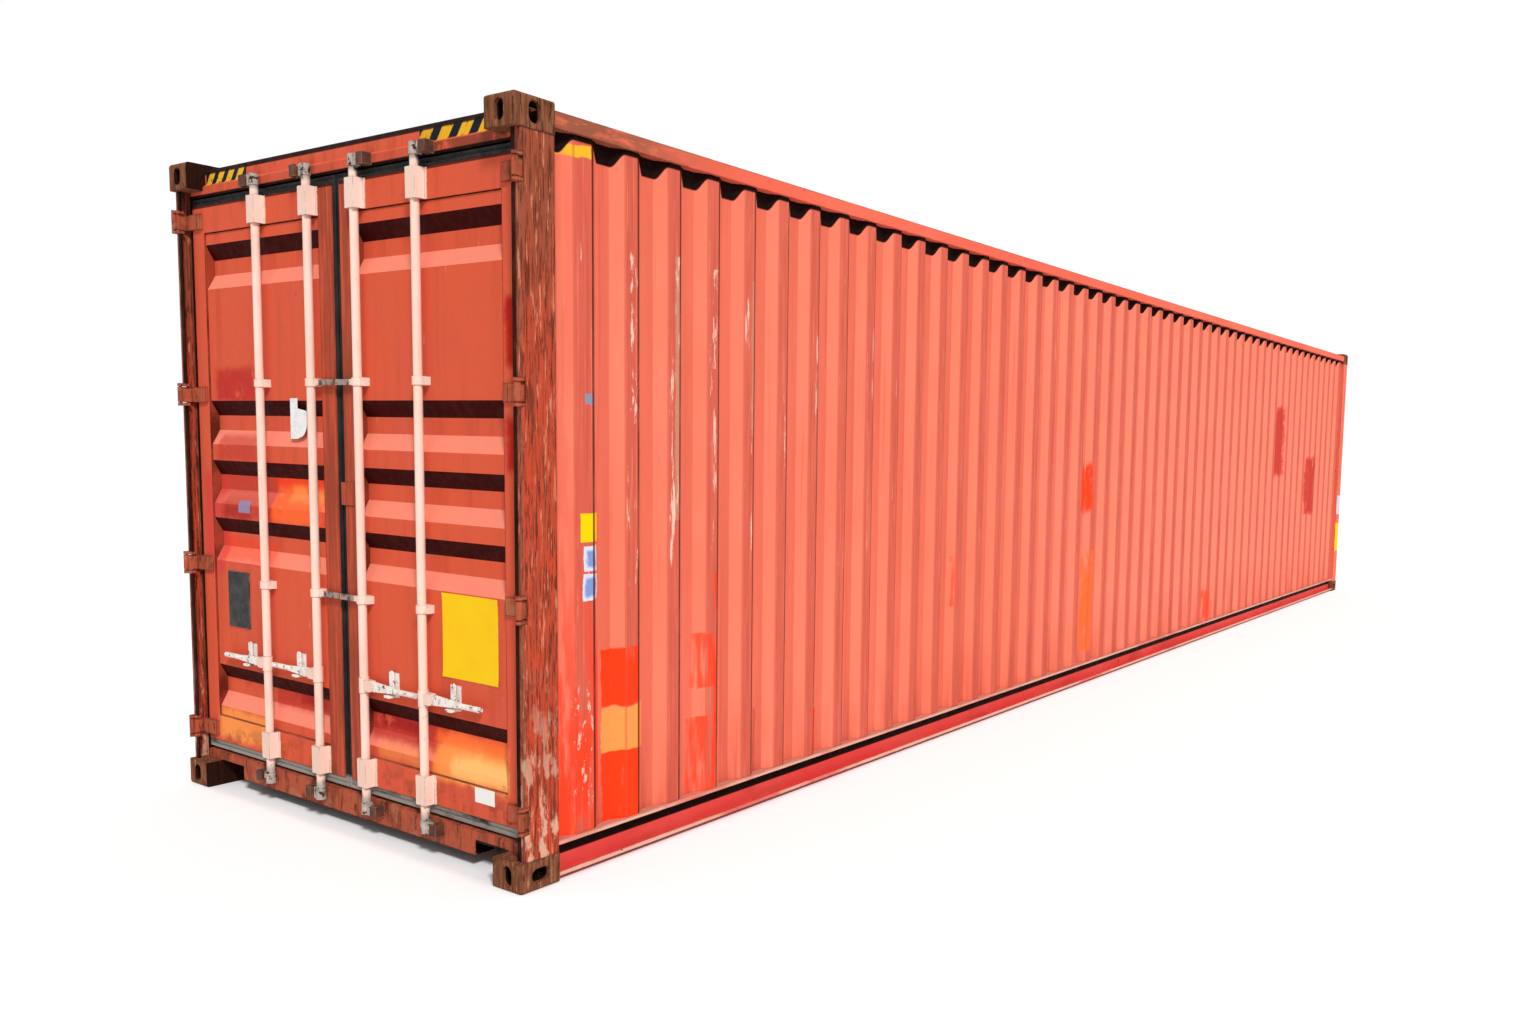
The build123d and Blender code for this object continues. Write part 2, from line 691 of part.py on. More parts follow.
def lock_rod(at):
    """Right-hand lock rod with a cam at each end and the hub that carries its handle."""
    axis = Pos(ROD_PLANE, at)
    rod = along_z(axis * Circle(ROD_RADIUS), CAM_BASES[0], CAM_BASES[1] + CAM_HEIGHT)
    for base in CAM_BASES:
        rod += along_z(cam_profile(at), base, base + CAM_HEIGHT)
    half = HUB_HEIGHT / 2
    rod += along_z(axis * Circle(HUB_RADIUS), HANDLE_Z - half, HANDLE_Z + half)
    pivot = at - HANDLE_PIVOT
    cheek = between((pivot, HANDLE_Z - CHEEK_RADIUS), (at, HANDLE_Z + CHEEK_RADIUS))
    cheek += Pos(pivot, HANDLE_Z) * Circle(CHEEK_RADIUS)
    inner = HANDLE_THICK / 2 + CHEEK_GAP
    outer = inner + CHEEK_THICK
    rod += along_x(cheek, ROD_PLANE - outer, ROD_PLANE - inner)
    rod += along_x(cheek, ROD_PLANE + inner, ROD_PLANE + outer)
    pin = Pos(pivot, HANDLE_Z) * Circle(HANDLE_PIN_RADIUS)
    return rod + along_x(pin, ROD_PLANE - outer, ROD_PLANE + outer)


def handle(at):
    """Handle on a right-hand rod: a tapered plate that ends in a round grip."""
    pivot = at - HANDLE_PIVOT
    neck = pivot - HANDLE_NECK
    tip = pivot - HANDLE_LENGTH
    plate = Polygon(
        (pivot, HANDLE_Z - HANDLE_ROOT_RADIUS),
        (pivot, HANDLE_Z + HANDLE_ROOT_RADIUS),
        (neck, HANDLE_Z + HANDLE_NECK_HALF),
        (neck, HANDLE_Z - HANDLE_NECK_HALF),
    )
    plate += Pos(pivot, HANDLE_Z) * Circle(HANDLE_ROOT_RADIUS)
    plate -= Pos(pivot, HANDLE_Z) * Circle(HANDLE_PIN_RADIUS + PIN_CLEAR)
    bar = along_x(plate, ROD_PLANE - HANDLE_THICK / 2, ROD_PLANE + HANDLE_THICK / 2)
    return bar + along_y(Pos(ROD_PLANE, HANDLE_Z) * Circle(GRIP_RADIUS), tip, neck)


def rod_brackets(at):
    """Pressed covers at both ends of a right-hand rod and the guides between them."""
    front = ROD_PLANE - ROD_RADIUS - ROD_CLEAR
    run = [
        (DOOR_PLANE, at - BRACKET_HALF),
        (DOOR_PLANE, at - BRACKET_ROOT),
        (front, at - BRACKET_CREST),
        (front, at + BRACKET_CREST),
        (DOOR_PLANE, at + BRACKET_ROOT),
        (DOOR_PLANE, at + BRACKET_HALF),
    ]
    cover = bent_sheet(run, BRACKET_STEEL)
    low = DOOR_BOTTOM + BRACKET_EDGE
    high = DOOR_TOP - BRACKET_EDGE - BRACKET_HEIGHT
    return [along_z(cover, base, base + BRACKET_HEIGHT) for base in (low, high)]


def rod_guides(at, ear, tongue):
    """Rings that hold a right-hand rod, with a rounded ear and a tongue toward the seam."""
    bore = ROD_RADIUS + ROD_CLEAR
    axis = Pos(ROD_PLANE, at)
    body = axis * Circle(bore + GUIDE_STEEL)
    body += between((ROD_PLANE, at - GUIDE_HALF), (PANEL_PLANE, at + GUIDE_HALF))
    ear_back = PANEL_PLANE - GUIDE_EAR_DEPTH
    body += between((ear_back, at), (PANEL_PLANE, at + ear * GUIDE_EAR))
    body -= axis * Circle(bore)
    rings = []
    for share in GUIDE_SHARES:
        middle = DOOR_BOTTOM + share * DOOR_HEIGHT
        ring = along_z(body, middle - GUIDE_HEIGHT / 2, middle + GUIDE_HEIGHT / 2)
        if tongue:
            reach = between((ear_back, at + bore), (ear_back + TONGUE_THICK, -TONGUE_SEAM_HALF))
            ring += along_z(reach, middle - TONGUE_HEIGHT / 2, middle + TONGUE_HEIGHT / 2)
        rings.append(ring)
    return rings


def handle_catch(at):
    """Saddle under a right-hand handle with a round-topped tab that stands behind it."""
    middle = at - HANDLE_PIVOT - CATCH_OFFSET
    saddle_top = HANDLE_Z - HANDLE_ROOT_RADIUS
    saddle_base = saddle_top - CATCH_SADDLE_THICK
    tab_front = ROD_PLANE + HANDLE_THICK / 2 + CATCH_CLEAR
    base = block(
        (PANEL_PLANE - CATCH_STEEL, PANEL_PLANE),
        (middle - CATCH_BASE_WIDTH / 2, middle + CATCH_BASE_WIDTH / 2),
        (saddle_base, saddle_base + CATCH_BASE_HEIGHT),
    )
    saddle = block(
        (ROD_PLANE - HANDLE_THICK / 2 - CATCH_CLEAR, PANEL_PLANE),
        (middle - CATCH_SADDLE_WIDTH / 2, middle + CATCH_SADDLE_WIDTH / 2),
        (saddle_base, saddle_top),
    )
    half = CATCH_TAB_WIDTH / 2
    tab_top = saddle_top + CATCH_TAB_HEIGHT - half
    tab = between((middle - half, saddle_top), (middle + half, tab_top))
    tab += Pos(middle, tab_top) * Circle(half)
    return base + saddle + along_x(tab, tab_front, tab_front + CATCH_STEEL)


def cam_keeper(at, base):
    """Jaw beside a right-hand cam, on the header or the sill."""
    mouth = at - CAM_REACH - KEEPER_GAP
    back = mouth - KEEPER_LENGTH
    outer = REAR + KEEPER_FRONT_DEPTH
    outline = Polygon(
        (DOOR_PLANE, mouth),
        (DOOR_PLANE - KEEPER_REAR_JAW, mouth),
        (DOOR_PLANE - KEEPER_REAR_JAW, back + KEEPER_BACK),
        (outer + KEEPER_FRONT_JAW, back + KEEPER_BACK),
        (outer + KEEPER_FRONT_JAW, mouth),
        (outer, mouth),
        (outer, back),
        (DOOR_PLANE, back),
    )
    return along_z(outline, base, base + CAM_HEIGHT)


def data_plate():
    """Bare plate on the left door."""
    outer = -PANEL_OUTER - DATA_PLATE_GAP
    base = DOOR_BOTTOM + DATA_PLATE_RISE
    return block(
        (PANEL_PLANE - DATA_PLATE_THICK, PANEL_PLANE),
        (outer - DATA_PLATE_WIDTH, outer),
        (base, base + DATA_PLATE_HEIGHT),
    )


def seam_plate():
    """Plate on the right door's inner stile, beside the seam."""
    middle = DOOR_BOTTOM + SEAM_PLATE_SHARE * DOOR_HEIGHT
    return block(
        (DOOR_PLANE - SEAM_PLATE_THICK, DOOR_PLANE),
        (-SEAM_PLATE_HALF - SEAM_PLATE_WIDTH, -SEAM_PLATE_HALF),
        (middle - SEAM_PLATE_HEIGHT / 2, middle + SEAM_PLATE_HEIGHT / 2),
    )


os.makedirs("parts", exist_ok=True)

# Frame of the box
low_fitting = corner_fitting(0)
high_fitting = mirror(corner_fitting(90), about=Plane.XY.offset(HEIGHT / 2))
save("bottom_corner_fittings", *four_corners(low_fitting))
save("top_corner_fittings", *four_corners(high_fitting))
pairs = {
    "rear_{}_post": rear_post(),
    "front_{}_post": front_post(),
    "{}_top_rail": top_rail(),
    "{}_bottom_rail": bottom_rail(),
    "{}_wall": side_wall(),
}
for name, piece in pairs.items():
    save(name.format("right"), piece)
    save(name.format("left"), left(piece))
save("door_header", door_header())
save("door_sill", door_sill())
save("front_header", front_header())
save("front_sill", front_sill())
save("front_wall", front_wall())
save("roof", roof())

# Underframe
save("crossmembers", *crossmembers())
save("gooseneck_tunnel", gooseneck_tunnel())
save("floor", floor())

# Fixed door gear
rods = {name: -DOOR_SEAM_HALF - share * DOOR_WIDTH for name, share in ROD_SHARES.items()}
keepers = [cam_keeper(at, base) for at in rods.values() for base in CAM_BASES]
save("cam_keepers", *both_sides(keepers))
lugs = hinge_lugs()
save("right_hinge_lugs", *lugs)
save("left_hinge_lugs", *[left(lug) for lug in lugs])

# Door leaves, with the ears of all guides on the same hand
brackets = [piece for at in rods.values() for piece in rod_brackets(at)]
frame = door_frame()
save("right_door_frame", frame + seam_plate())
save("left_door_frame", left(frame))
leaf = {
    "door_panel": [door_panel()],
    "door_seal": [door_seal()],
    "hinge_blades": hinge_blades(),
    "handle_catches": [handle_catch(at) for at in rods.values()],
}
for name, pieces in leaf.items():
    save(f"right_{name}", *pieces)
    save(f"left_{name}", *[left(piece) for piece in pieces])
guides = {"right": -1, "left": 1}
for side, ear in guides.items():
    rings = rod_guides(rods["inner"], ear, True) + rod_guides(rods["outer"], ear, False)
    pieces = brackets + rings
    if side == "left":
        pieces = [left(piece) for piece in pieces]
    save(f"{side}_rod_brackets", *pieces)
save("data_plate", data_plate())

# Turning gear
for place, at in rods.items():
    gear = {"lock_rod": lock_rod(at), "handle": handle(at)}
    for name, piece in gear.items():
        save(f"right_{place}_{name}", piece)
        save(f"left_{place}_{name}", left(piece))
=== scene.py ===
"""Looks of the freight container: worn paint, rubber seals, floor sheets, a placard and a card.

Lengths are in metres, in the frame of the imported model: X runs from the door end to the
closed front end, Z is up, and the right side of someone facing the doors is -Y.
Screen colours are written as they look, from 0 to 255.
"""
import math

import bmesh
import bpy
from mathutils import Matrix, Vector


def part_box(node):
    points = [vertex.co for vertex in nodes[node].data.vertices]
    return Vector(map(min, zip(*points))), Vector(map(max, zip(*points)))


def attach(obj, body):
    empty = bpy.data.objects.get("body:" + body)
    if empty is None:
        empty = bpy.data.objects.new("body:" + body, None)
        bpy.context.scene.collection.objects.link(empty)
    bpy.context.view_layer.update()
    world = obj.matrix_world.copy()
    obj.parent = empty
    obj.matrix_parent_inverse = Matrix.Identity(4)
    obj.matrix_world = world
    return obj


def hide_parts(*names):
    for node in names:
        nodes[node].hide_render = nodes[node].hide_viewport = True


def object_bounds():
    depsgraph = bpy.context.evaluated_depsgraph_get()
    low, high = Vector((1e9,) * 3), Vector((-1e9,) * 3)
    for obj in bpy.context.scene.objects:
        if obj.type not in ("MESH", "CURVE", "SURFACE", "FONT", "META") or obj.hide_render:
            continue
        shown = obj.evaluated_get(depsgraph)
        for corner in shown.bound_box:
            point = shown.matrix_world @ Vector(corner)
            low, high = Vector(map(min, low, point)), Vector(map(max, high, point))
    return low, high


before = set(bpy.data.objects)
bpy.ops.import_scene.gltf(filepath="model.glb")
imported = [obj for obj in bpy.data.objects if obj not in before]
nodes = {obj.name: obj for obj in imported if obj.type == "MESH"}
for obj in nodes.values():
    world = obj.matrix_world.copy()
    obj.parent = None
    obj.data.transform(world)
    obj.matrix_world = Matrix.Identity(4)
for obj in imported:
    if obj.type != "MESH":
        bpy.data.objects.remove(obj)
cad_low, cad_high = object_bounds()

# Places read from the frame
REAR = cad_low.x
FRONT = cad_high.x
RIGHT = cad_low.y
TOP = cad_high.z
WALL_LOW, WALL_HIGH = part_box("right_wall")
PANEL_LOW, PANEL_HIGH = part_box("right_door_panel")
LEAF_LOW, LEAF_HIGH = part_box("left_door_frame")
SEAL_LOW, SEAL_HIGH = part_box("left_door_seal")
HEADER_LOW, HEADER_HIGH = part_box("door_header")
SILL_LOW, SILL_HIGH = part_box("door_sill")
RAIL_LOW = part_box("right_bottom_rail")[0]
ROOF_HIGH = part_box("roof")[1]
END_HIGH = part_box("front_wall")[1]
SIDE = -RIGHT
PANEL_EDGE = -PANEL_HIGH.y
PANEL_FAR = -PANEL_LOW.y

# Camera
CAMERA_PLACE = Vector((-8.814, -4.707, 1.700))
CAMERA_AIM = Vector((-3.347, -1.219, 1.107))
CAMERA_ROLL = math.radians(1.29)
CAMERA_LENS = 27.31
CAMERA_SHIFT = (-0.105, 0.025)
CAMERA_SENSOR = 36.0
CAMERA_REACH = 500.0

# Light and floor
SUN_FROM = Vector((-0.40, -0.66, 0.64))
SUN_STRENGTH = 2.65
SUN_SPREAD = math.radians(9)
SKY_STRENGTH = 0.44
FLOOR_LIFT = 0.14
FLOOR_HALF = 300.0
FLOOR_FADE = 0.05
WHITE = (1.0, 1.0, 1.0, 1.0)


def screen(red, green, blue):
    """Linear colour of a screen colour."""
    shares = [value / 255 for value in (red, green, blue)]
    linear = [v / 12.92 if v <= 0.04045 else ((v + 0.055) / 1.055) ** 2.4 for v in shares]
    return (*linear, 1.0)


# Colours of the walls
CORAL = screen(233, 116, 90)
CORAL_PALE = screen(240, 132, 108)
CORAL_DULL = screen(204, 90, 70)
CORAL_WORN = screen(200, 92, 74)
CORAL_DEEP = screen(172, 66, 50)
# Painted shade along the wall's folds
FOLD_SHADE = screen(88, 34, 26)
FIRST_RED = screen(214, 82, 66)

# Colours of the doors
DOOR_RED = screen(218, 90, 60)
DOOR_HIGHLIGHT = screen(246, 142, 118)
DOOR_DEEP = screen(150, 52, 38)
STILE_BROWN = screen(146, 66, 46)
# Painted shade under the door grooves
GROOVE_SHADE = screen(56, 4, 1)
GROOVE_SHADE_RED = screen(78, 20, 14)

# Colours of touched-up areas
PATCH_RED = screen(250, 60, 22)
PATCH_ORANGE = screen(250, 148, 76)
PATCH_SUNNY = screen(255, 190, 112)
PATCH_FLAME = screen(252, 104, 50)
PATCH_BRICK = screen(190, 52, 44)
PATCH_CARMINE = screen(178, 26, 16)
PATCH_MAROON = screen(150, 26, 28)

# Colours of rust, dirt and bare steel
RUST = screen(112, 60, 40)
RUST_DARK = screen(62, 34, 26)
RUST_PALE = screen(176, 110, 80)
# Near-black: real grime on seams and rims, and painted shade in hollows and under parts
GRIME_AND_SHADE = screen(22, 5, 3)
DUST = screen(222, 172, 150)
LEDGE_DUST = screen(196, 138, 118)
BARE_PALE = screen(236, 196, 176)
BARE_TAN = screen(196, 132, 108)
STEEL = screen(168, 158, 150)
STEEL_DARK = screen(92, 82, 76)

# Colours of posts, rails, header and sill
POST_RED = screen(194, 72, 46)
POST_STREAK = screen(164, 72, 50)
POST_HIGH = screen(134, 78, 56)
POST_END = screen(142, 82, 62)
POST_DARK = screen(104, 48, 34)
POST_PALE = screen(212, 130, 98)
POST_CRACK = screen(72, 34, 26)
POST_FLAKE = screen(214, 168, 142)
POST_CORNER = screen(226, 176, 152)
RAIL_CORAL = screen(228, 100, 78)
RAIL_BROWN = screen(150, 84, 62)
CRIMSON = screen(214, 66, 62)
CRIMSON_PALE = screen(222, 92, 80)
HEADER_RED = screen(218, 94, 66)
HEADER_BROWN = screen(140, 66, 46)
SILL_BROWN = screen(178, 86, 62)
CAST_BROWN = screen(138, 86, 60)
CAST_STREAK = screen(108, 62, 42)
CAST_DARK = screen(60, 36, 27)
CAST_PALE = screen(182, 126, 92)
CAST_EDGE = screen(66, 40, 30)
UNDER_RED = screen(116, 52, 42)
UNDER_DUST = screen(134, 96, 80)

# Colours of the lock gear
CREAM = screen(240, 210, 194)
CREAM_DULL = screen(232, 190, 170)
CREAM_RUSTY = screen(204, 140, 116)
GEAR_EDGE = screen(104, 74, 60)
TONGUE_DARK = screen(58, 52, 48)
HANDLE_PALE = screen(242, 236, 228)
HANDLE_GREY = screen(198, 188, 180)
HANDLE_PIT = screen(84, 72, 66)
KEEPER_DARK = screen(74, 52, 44)

# Colours of rubber, wood, plates, labels and the studio
BLACK = screen(20, 19, 20)
RUBBER_GREY = screen(70, 70, 68)
RUBBER_DUST = screen(146, 140, 132)
PLY_BROWN = screen(132, 88, 56)
PLY_GRAIN = screen(106, 68, 42)
PLY_SCRATCH = screen(168, 124, 88)
PLY_STAIN = screen(70, 48, 34)
PLATE_DARK = screen(46, 44, 44)
PLATE_SCUFF = screen(92, 88, 86)
PLATE_EDGE = screen(150, 140, 132)
YELLOW = screen(248, 202, 6)
YELLOW_DEEP = screen(246, 186, 4)
YELLOW_BURNT = screen(120, 84, 30)
STRIPE_YELLOW = screen(236, 176, 40)
STRIPE_NAVY = screen(28, 30, 44)
LABEL_BLUE = screen(106, 138, 196)
LABEL_GREY = screen(132, 140, 160)
LABEL_PALE = screen(206, 212, 228)
LABEL_WHITE = screen(240, 236, 232)
LABEL_LILAC = screen(150, 130, 160)
FLOOR_WHITE = screen(252, 252, 252)
FLOOR_BRIGHT = screen(254, 254, 254)


# Coarser noises of a finish: two as shares of its grain, and dents in cells per metre
CLOUD_SHARE = 0.12
COARSE_SHARE = 0.16
DENT_SCALE = 1.7

# How alike the true and the rounded normal are, off an edge and on it
EDGE_LIKENESS = (0.99, 0.90)


class Finish:
    """A material built up in layers of colour, with its roughness and bump."""

    def __init__(self, name, colour):
        self.material = bpy.data.materials.new(name)
        self.material.use_nodes = True
        self.tree = self.material.node_tree
        self.tree.nodes.clear()
        self.shader = self.node("ShaderNodeBsdfPrincipled")
        output = self.node("ShaderNodeOutputMaterial")
        self.tree.links.new(self.shader.outputs["BSDF"], output.inputs["Surface"])
        coordinates = self.node("ShaderNodeTexCoord").outputs
        self.place = coordinates["Object"]
        self.x, self.y, self.z = self.node("ShaderNodeSeparateXYZ", self.place).outputs
        self.turn = self.node("ShaderNodeSeparateXYZ", coordinates["Normal"]).outputs
        self.normal = self.node("ShaderNodeNewGeometry").outputs["Normal"]
        self.colour = colour

    def node(self, kind, *values, **settings):
        """New node with its first inputs fed in order."""
        made = self.tree.nodes.new(kind)
        for key, value in settings.items():
            setattr(made, key, value)
        for socket, value in zip(made.inputs, values):
            self.feed(socket, value)
        return made

    def feed(self, socket, value):
        """Link a socket's value in, or set a plain one."""
        if isinstance(value, bpy.types.NodeSocket):
            self.tree.links.new(value, socket)
        else:
            socket.default_value = value

    def math(self, operation, *values):
        """One sum, product or the like of the values."""
        return self.node("ShaderNodeMath", *values, operation=operation).outputs[0]

    def times(self, *values):
        """Product of all the values."""
        product = values[0]
        for value in values[1:]:
            product = self.math("MULTIPLY", product, value)
        return product

    def most(self, *values):
        """Largest of the values."""
        best = values[0]
        for value in values[1:]:
            best = self.math("MAXIMUM", best, value)
        return best

    def ramp(self, value, low, high, start=0.0, end=1.0):
        """Smooth change from start to end while the value goes from low to high."""
        made = self.node("ShaderNodeMapRange", value, low, high, start, end)
        made.interpolation_type = "SMOOTHSTEP"
        return made.outputs[0]

    def noise(self, scale, stretch=(1.0, 1.0, 1.0), detail=4.0, roughness=0.6):
        """Cloudy value about one half; scale is in cells per metre."""
        spread = tuple(scale * value for value in stretch)
        place = self.node("ShaderNodeVectorMath", self.place, spread, operation="MULTIPLY")
        made = self.node("ShaderNodeTexNoise")
        self.feed(made.inputs["Vector"], place.outputs[0])
        made.inputs["Scale"].default_value = 1.0
        made.inputs["Detail"].default_value = detail
        made.inputs["Roughness"].default_value = roughness
        return made.outputs[0]

    def cloud(self, scale, low, high, start=0.0, end=1.0):
        """Smooth change from start to end over a stretch of the cloudy value."""
        return self.ramp(self.noise(scale), low, high, start, end)

    def streaks(self, scale, low, high, run, start=0.0, end=1.0):
        """Upright runs of dirt or wear; the smaller run is, the longer they are."""
        return self.ramp(self.noise(scale, (1.0, 1.0, run)), low, high, start, end)

    def band(self, value, low, high, soft):
        """One between two limits and nothing outside them."""
        rise = self.ramp(value, low - soft, low + soft)
        fall = self.ramp(value, high - soft, high + soft, 1.0, 0.0)
        return self.times(rise, fall)

    def patch(self, across, limits, heights, ragged=0.02, soft=0.004):
        """Ragged rectangle across one axis and up the other."""
        shake = self.math("MULTIPLY_ADD", self.noise(14.0), ragged, -0.5 * ragged)
        shake_up = self.math("MULTIPLY_ADD", self.noise(9.0), ragged, -0.5 * ragged)
        wide = self.band(self.math("ADD", across, shake), *sorted(limits), soft)
        tall = self.band(self.math("ADD", self.z, shake_up), *sorted(heights), soft)
        return self.times(wide, tall)

    def edges(self, radius):
        """One along sharp edges, fading over the radius."""
        rounded = self.node("ShaderNodeBevel", radius)
        rounded.samples = 4
        pair = (rounded.outputs[0], self.normal)
        likeness = self.node("ShaderNodeVectorMath", *pair, operation="DOT_PRODUCT")
        return self.ramp(likeness.outputs["Value"], *EDGE_LIKENESS)

    def layer(self, colour, *shares):
        """Lay a colour over the ones below by the product of shares from 0 to 1."""
        made = self.node("ShaderNodeMix", data_type="RGBA")
        self.feed(made.inputs[0], self.times(*shares))
        self.feed(made.inputs[6], self.colour)
        self.feed(made.inputs[7], colour)
        self.colour = made.outputs[2]

    def worn_edges(self, radius, scale, limits, share, colour):
        """Lay a colour along sharp edges, broken up by a cloud."""
        self.layer(colour, self.edges(radius), self.cloud(scale, *limits), share)

    def rust(self, low, high, scale):
        """Rust blooms with dark hearts."""
        bloom = self.noise(scale, detail=7.0, roughness=0.68)
        self.layer(RUST, self.ramp(bloom, low, high))
        self.layer(RUST_DARK, self.ramp(bloom, high - 0.01, high + 0.05))

    def bump(self, height, depth):
        """Bump that presses a height that deep."""
        made = self.node("ShaderNodeBump")
        made.inputs["Strength"].default_value = 1.0
        made.inputs["Distance"].default_value = depth
        self.feed(made.inputs["Height"], height)
        return made

    def done(self, roughness, grain, depth, metallic=0.0, gloss=0.05, dents=0.0):
        """Close the material with its roughness range, a grain pressed that deep and wide dents."""
        self.feed(self.shader.inputs["Base Color"], self.colour)
        cloud = self.noise(grain * CLOUD_SHARE, detail=3.0)
        self.feed(self.shader.inputs["Roughness"], self.ramp(cloud, 0.3, 0.7, *roughness))
        self.shader.inputs["Metallic"].default_value = metallic
        self.shader.inputs["Specular IOR Level"].default_value = gloss
        coarse = self.noise(grain * COARSE_SHARE, detail=2.0)
        fine = self.math("ADD", self.noise(grain, detail=5.0), coarse)
        bump = self.bump(fine, depth)
        if dents:
            wide = self.bump(self.noise(DENT_SCALE, detail=2.0), dents)
            self.feed(bump.inputs["Normal"], wide.outputs[0])
        self.feed(self.shader.inputs["Normal"], bump.outputs[0])
        return self.material


# Dirt and wear on the walls, and painted shade under the top rail; runs are measured from the door
# end
DIRT_RISE = 0.5
BLEACH_RUN = (2.0, 6.0)
SCUFF_RUN = (1.2, 2.9)
SCUFF_HEIGHTS = (1.1, 2.45)
RIM_SHADE = 0.022
RIM_SCALLOP = 0.052
RIM_DEPTHS = (0.002, 0.034)


def wall_paint(name, run, deep, outer, rim=0.0, patched=False):
    """Sun-bleached coral of a corrugated sheet; run and deep number its axes along and through."""
    f = Finish(name, CORAL)
    through = (f.x, f.y, f.z)[deep]
    depth = f.math("SUBTRACT", outer, f.math("ABSOLUTE", through))
    outside = f.ramp(f.times(f.turn[deep], through), 0.05, 0.25)
    level = f.ramp(f.math("ABSOLUTE", f.turn[run]), 0.1, 0.3, 1.0, 0.0)
    crest = f.times(level, f.ramp(depth, 0.004, 0.012, 1.0, 0.0))
    wall_fading(f, level, crest)
    if patched:
        wall_patches(f)
    wall_wear(f, f.turn[run], depth, crest, outside)
    if rim:
        wall_rim(f, depth, outside, rim)
    return f.done(roughness=(0.5, 0.75), grain=260.0, depth=0.0005, dents=0.02)


def wall_fading(f, level, crest):
    """Bleached, worn and streaked paint, with painted shade on the flats beside the slopes, dirtier
    at the foot.
    """
    f.layer(CORAL_PALE, f.cloud(0.5, 0.35, 0.65, end=0.5))
    f.layer(CORAL_PALE, f.ramp(f.x, REAR + BLEACH_RUN[0], REAR + BLEACH_RUN[1], 0.0, 0.6))
    # Painted shade: flats darker than the slopes, which face the light
    f.layer(CORAL_DULL, level, f.streaks(7.0, 0.3, 0.7, 0.06, 0.4, 0.7))
    f.layer(CORAL_WORN, crest, f.streaks(30.0, 0.3, 0.7, 0.03, 0.5, 0.95))
    f.layer(CORAL_DEEP, crest, f.streaks(150.0, 0.50, 0.62, 0.015), 0.4)
    f.layer(CORAL_PALE, crest, f.streaks(120.0, 0.56, 0.66, 0.02), 0.4)
    f.layer(CORAL_DEEP, f.streaks(40.0, 0.58, 0.74, 0.02, end=0.3))
    low_dirt = f.ramp(f.z, WALL_LOW.z, WALL_LOW.z + DIRT_RISE, 0.45, 0.0)
    f.layer(CORAL_DEEP, low_dirt, f.streaks(11.0, 0.35, 0.7, 0.1))


def wall_wear(f, lean, depth, crest, outside):
    """Scuffed crests near the doors, painted shade along the folds and some rust."""
    scuffs = f.ramp(f.noise(24.0, (1.0, 1.0, 0.10), detail=7.0, roughness=0.7), 0.58, 0.64)
    along = f.ramp(f.x, REAR + SCUFF_RUN[0], REAR + SCUFF_RUN[1], 0.9, 0.1)
    near_doors = f.times(along, f.band(f.z, *SCUFF_HEIGHTS, 0.15))
    f.layer(BARE_PALE, scuffs, crest, near_doors, outside)
    # Painted shade: thin darker lines along the rounded folds
    soft_fold_shade = f.times(f.ramp(depth, 0.003, 0.006, 1.0, 0.0), f.ramp(lean, -0.04, -0.16))
    f.layer(CORAL_DEEP, soft_fold_shade, 0.45)
    fold_shade = f.times(f.ramp(depth, 0.008, 0.017, 1.0, 0.0), f.ramp(lean, 0.03, 0.13))
    f.layer(FOLD_SHADE, fold_shade, outside, f.cloud(3.0, 0.25, 0.5, 0.6, 0.95))
    f.rust(0.735, 0.76, 9.0)


def wall_rim(f, depth, outside, rim):
    """Painted shade under the top rail, hanging lower where the sheet lies deeper."""
    reach = f.math("MULTIPLY_ADD", f.ramp(depth, *RIM_DEPTHS), RIM_SCALLOP, rim)
    below = f.math("SUBTRACT", WALL_HIGH.z, f.z)
    shaded = f.ramp(f.math("SUBTRACT", below, reach), -0.004, 0.004, 1.0, 0.0)
    # Painted shadow of the top rail on the sheet
    f.layer(GRIME_AND_SHADE, outside, shaded)


# First panel of the right wall: its end, heights of its reds, shade by the post and scratches
FIRST_PANEL = (0.40, 0.41)
FIRST_HEIGHTS = (0.3, 2.0)
FLAME_HEIGHTS = (0.35, 1.3)
POST_SHADE = (0.055, 0.005)
SCRATCH_RUN = (0.27, 0.36)
SCRATCH_HEIGHTS = (0.28, 0.72)


def wall_patches(f):
    """Touched-up and rubbed areas and bare labels on the right wall, placed from the door end."""
    away = f.math("SUBTRACT", f.x, REAR)
    outside = f.ramp(f.turn[1], -0.25, -0.05, 1.0, 0.0)
    worn = f.streaks(20.0, 0.28, 0.45, 0.15)
    smeared = f.ramp(f.noise(26.0, (1.0, 1.0, 0.12), detail=6.0), 0.36, 0.56)
    first_panel(f, away, outside, worn, smeared)
    wall_touches(f, away, outside, worn, smeared)
    wall_strokes(f, away, outside, worn)
    scratch = f.ramp(f.noise(40.0, (1.0, 1.0, 0.35), detail=7.0, roughness=0.7), 0.56, 0.61)
    scratched = f.times(f.band(away, *SCRATCH_RUN, 0.03), f.band(f.z, *SCRATCH_HEIGHTS, 0.05))
    f.layer(BARE_PALE, scratch, scratched, outside, 0.9)
    wall_labels(f, away, outside)


def first_panel(f, away, outside, worn, smeared):
    """Redder first panel, darker beside the post."""
    first = f.times(f.ramp(away, *FIRST_PANEL, 1.0, 0.0), outside)
    f.layer(FIRST_RED, first, f.ramp(f.z, *FIRST_HEIGHTS, 0.95, 0.35), smeared, 0.6)
    f.layer(PATCH_RED, first, f.ramp(f.z, *FLAME_HEIGHTS, 1.0, 0.0), smeared, worn, 0.85)
    beside_post = f.ramp(f.x, *(WALL_LOW.x + reach for reach in POST_SHADE))
    f.layer(CORAL_DEEP, beside_post, outside, 0.6)


TOUCH_RAGGED = 0.04


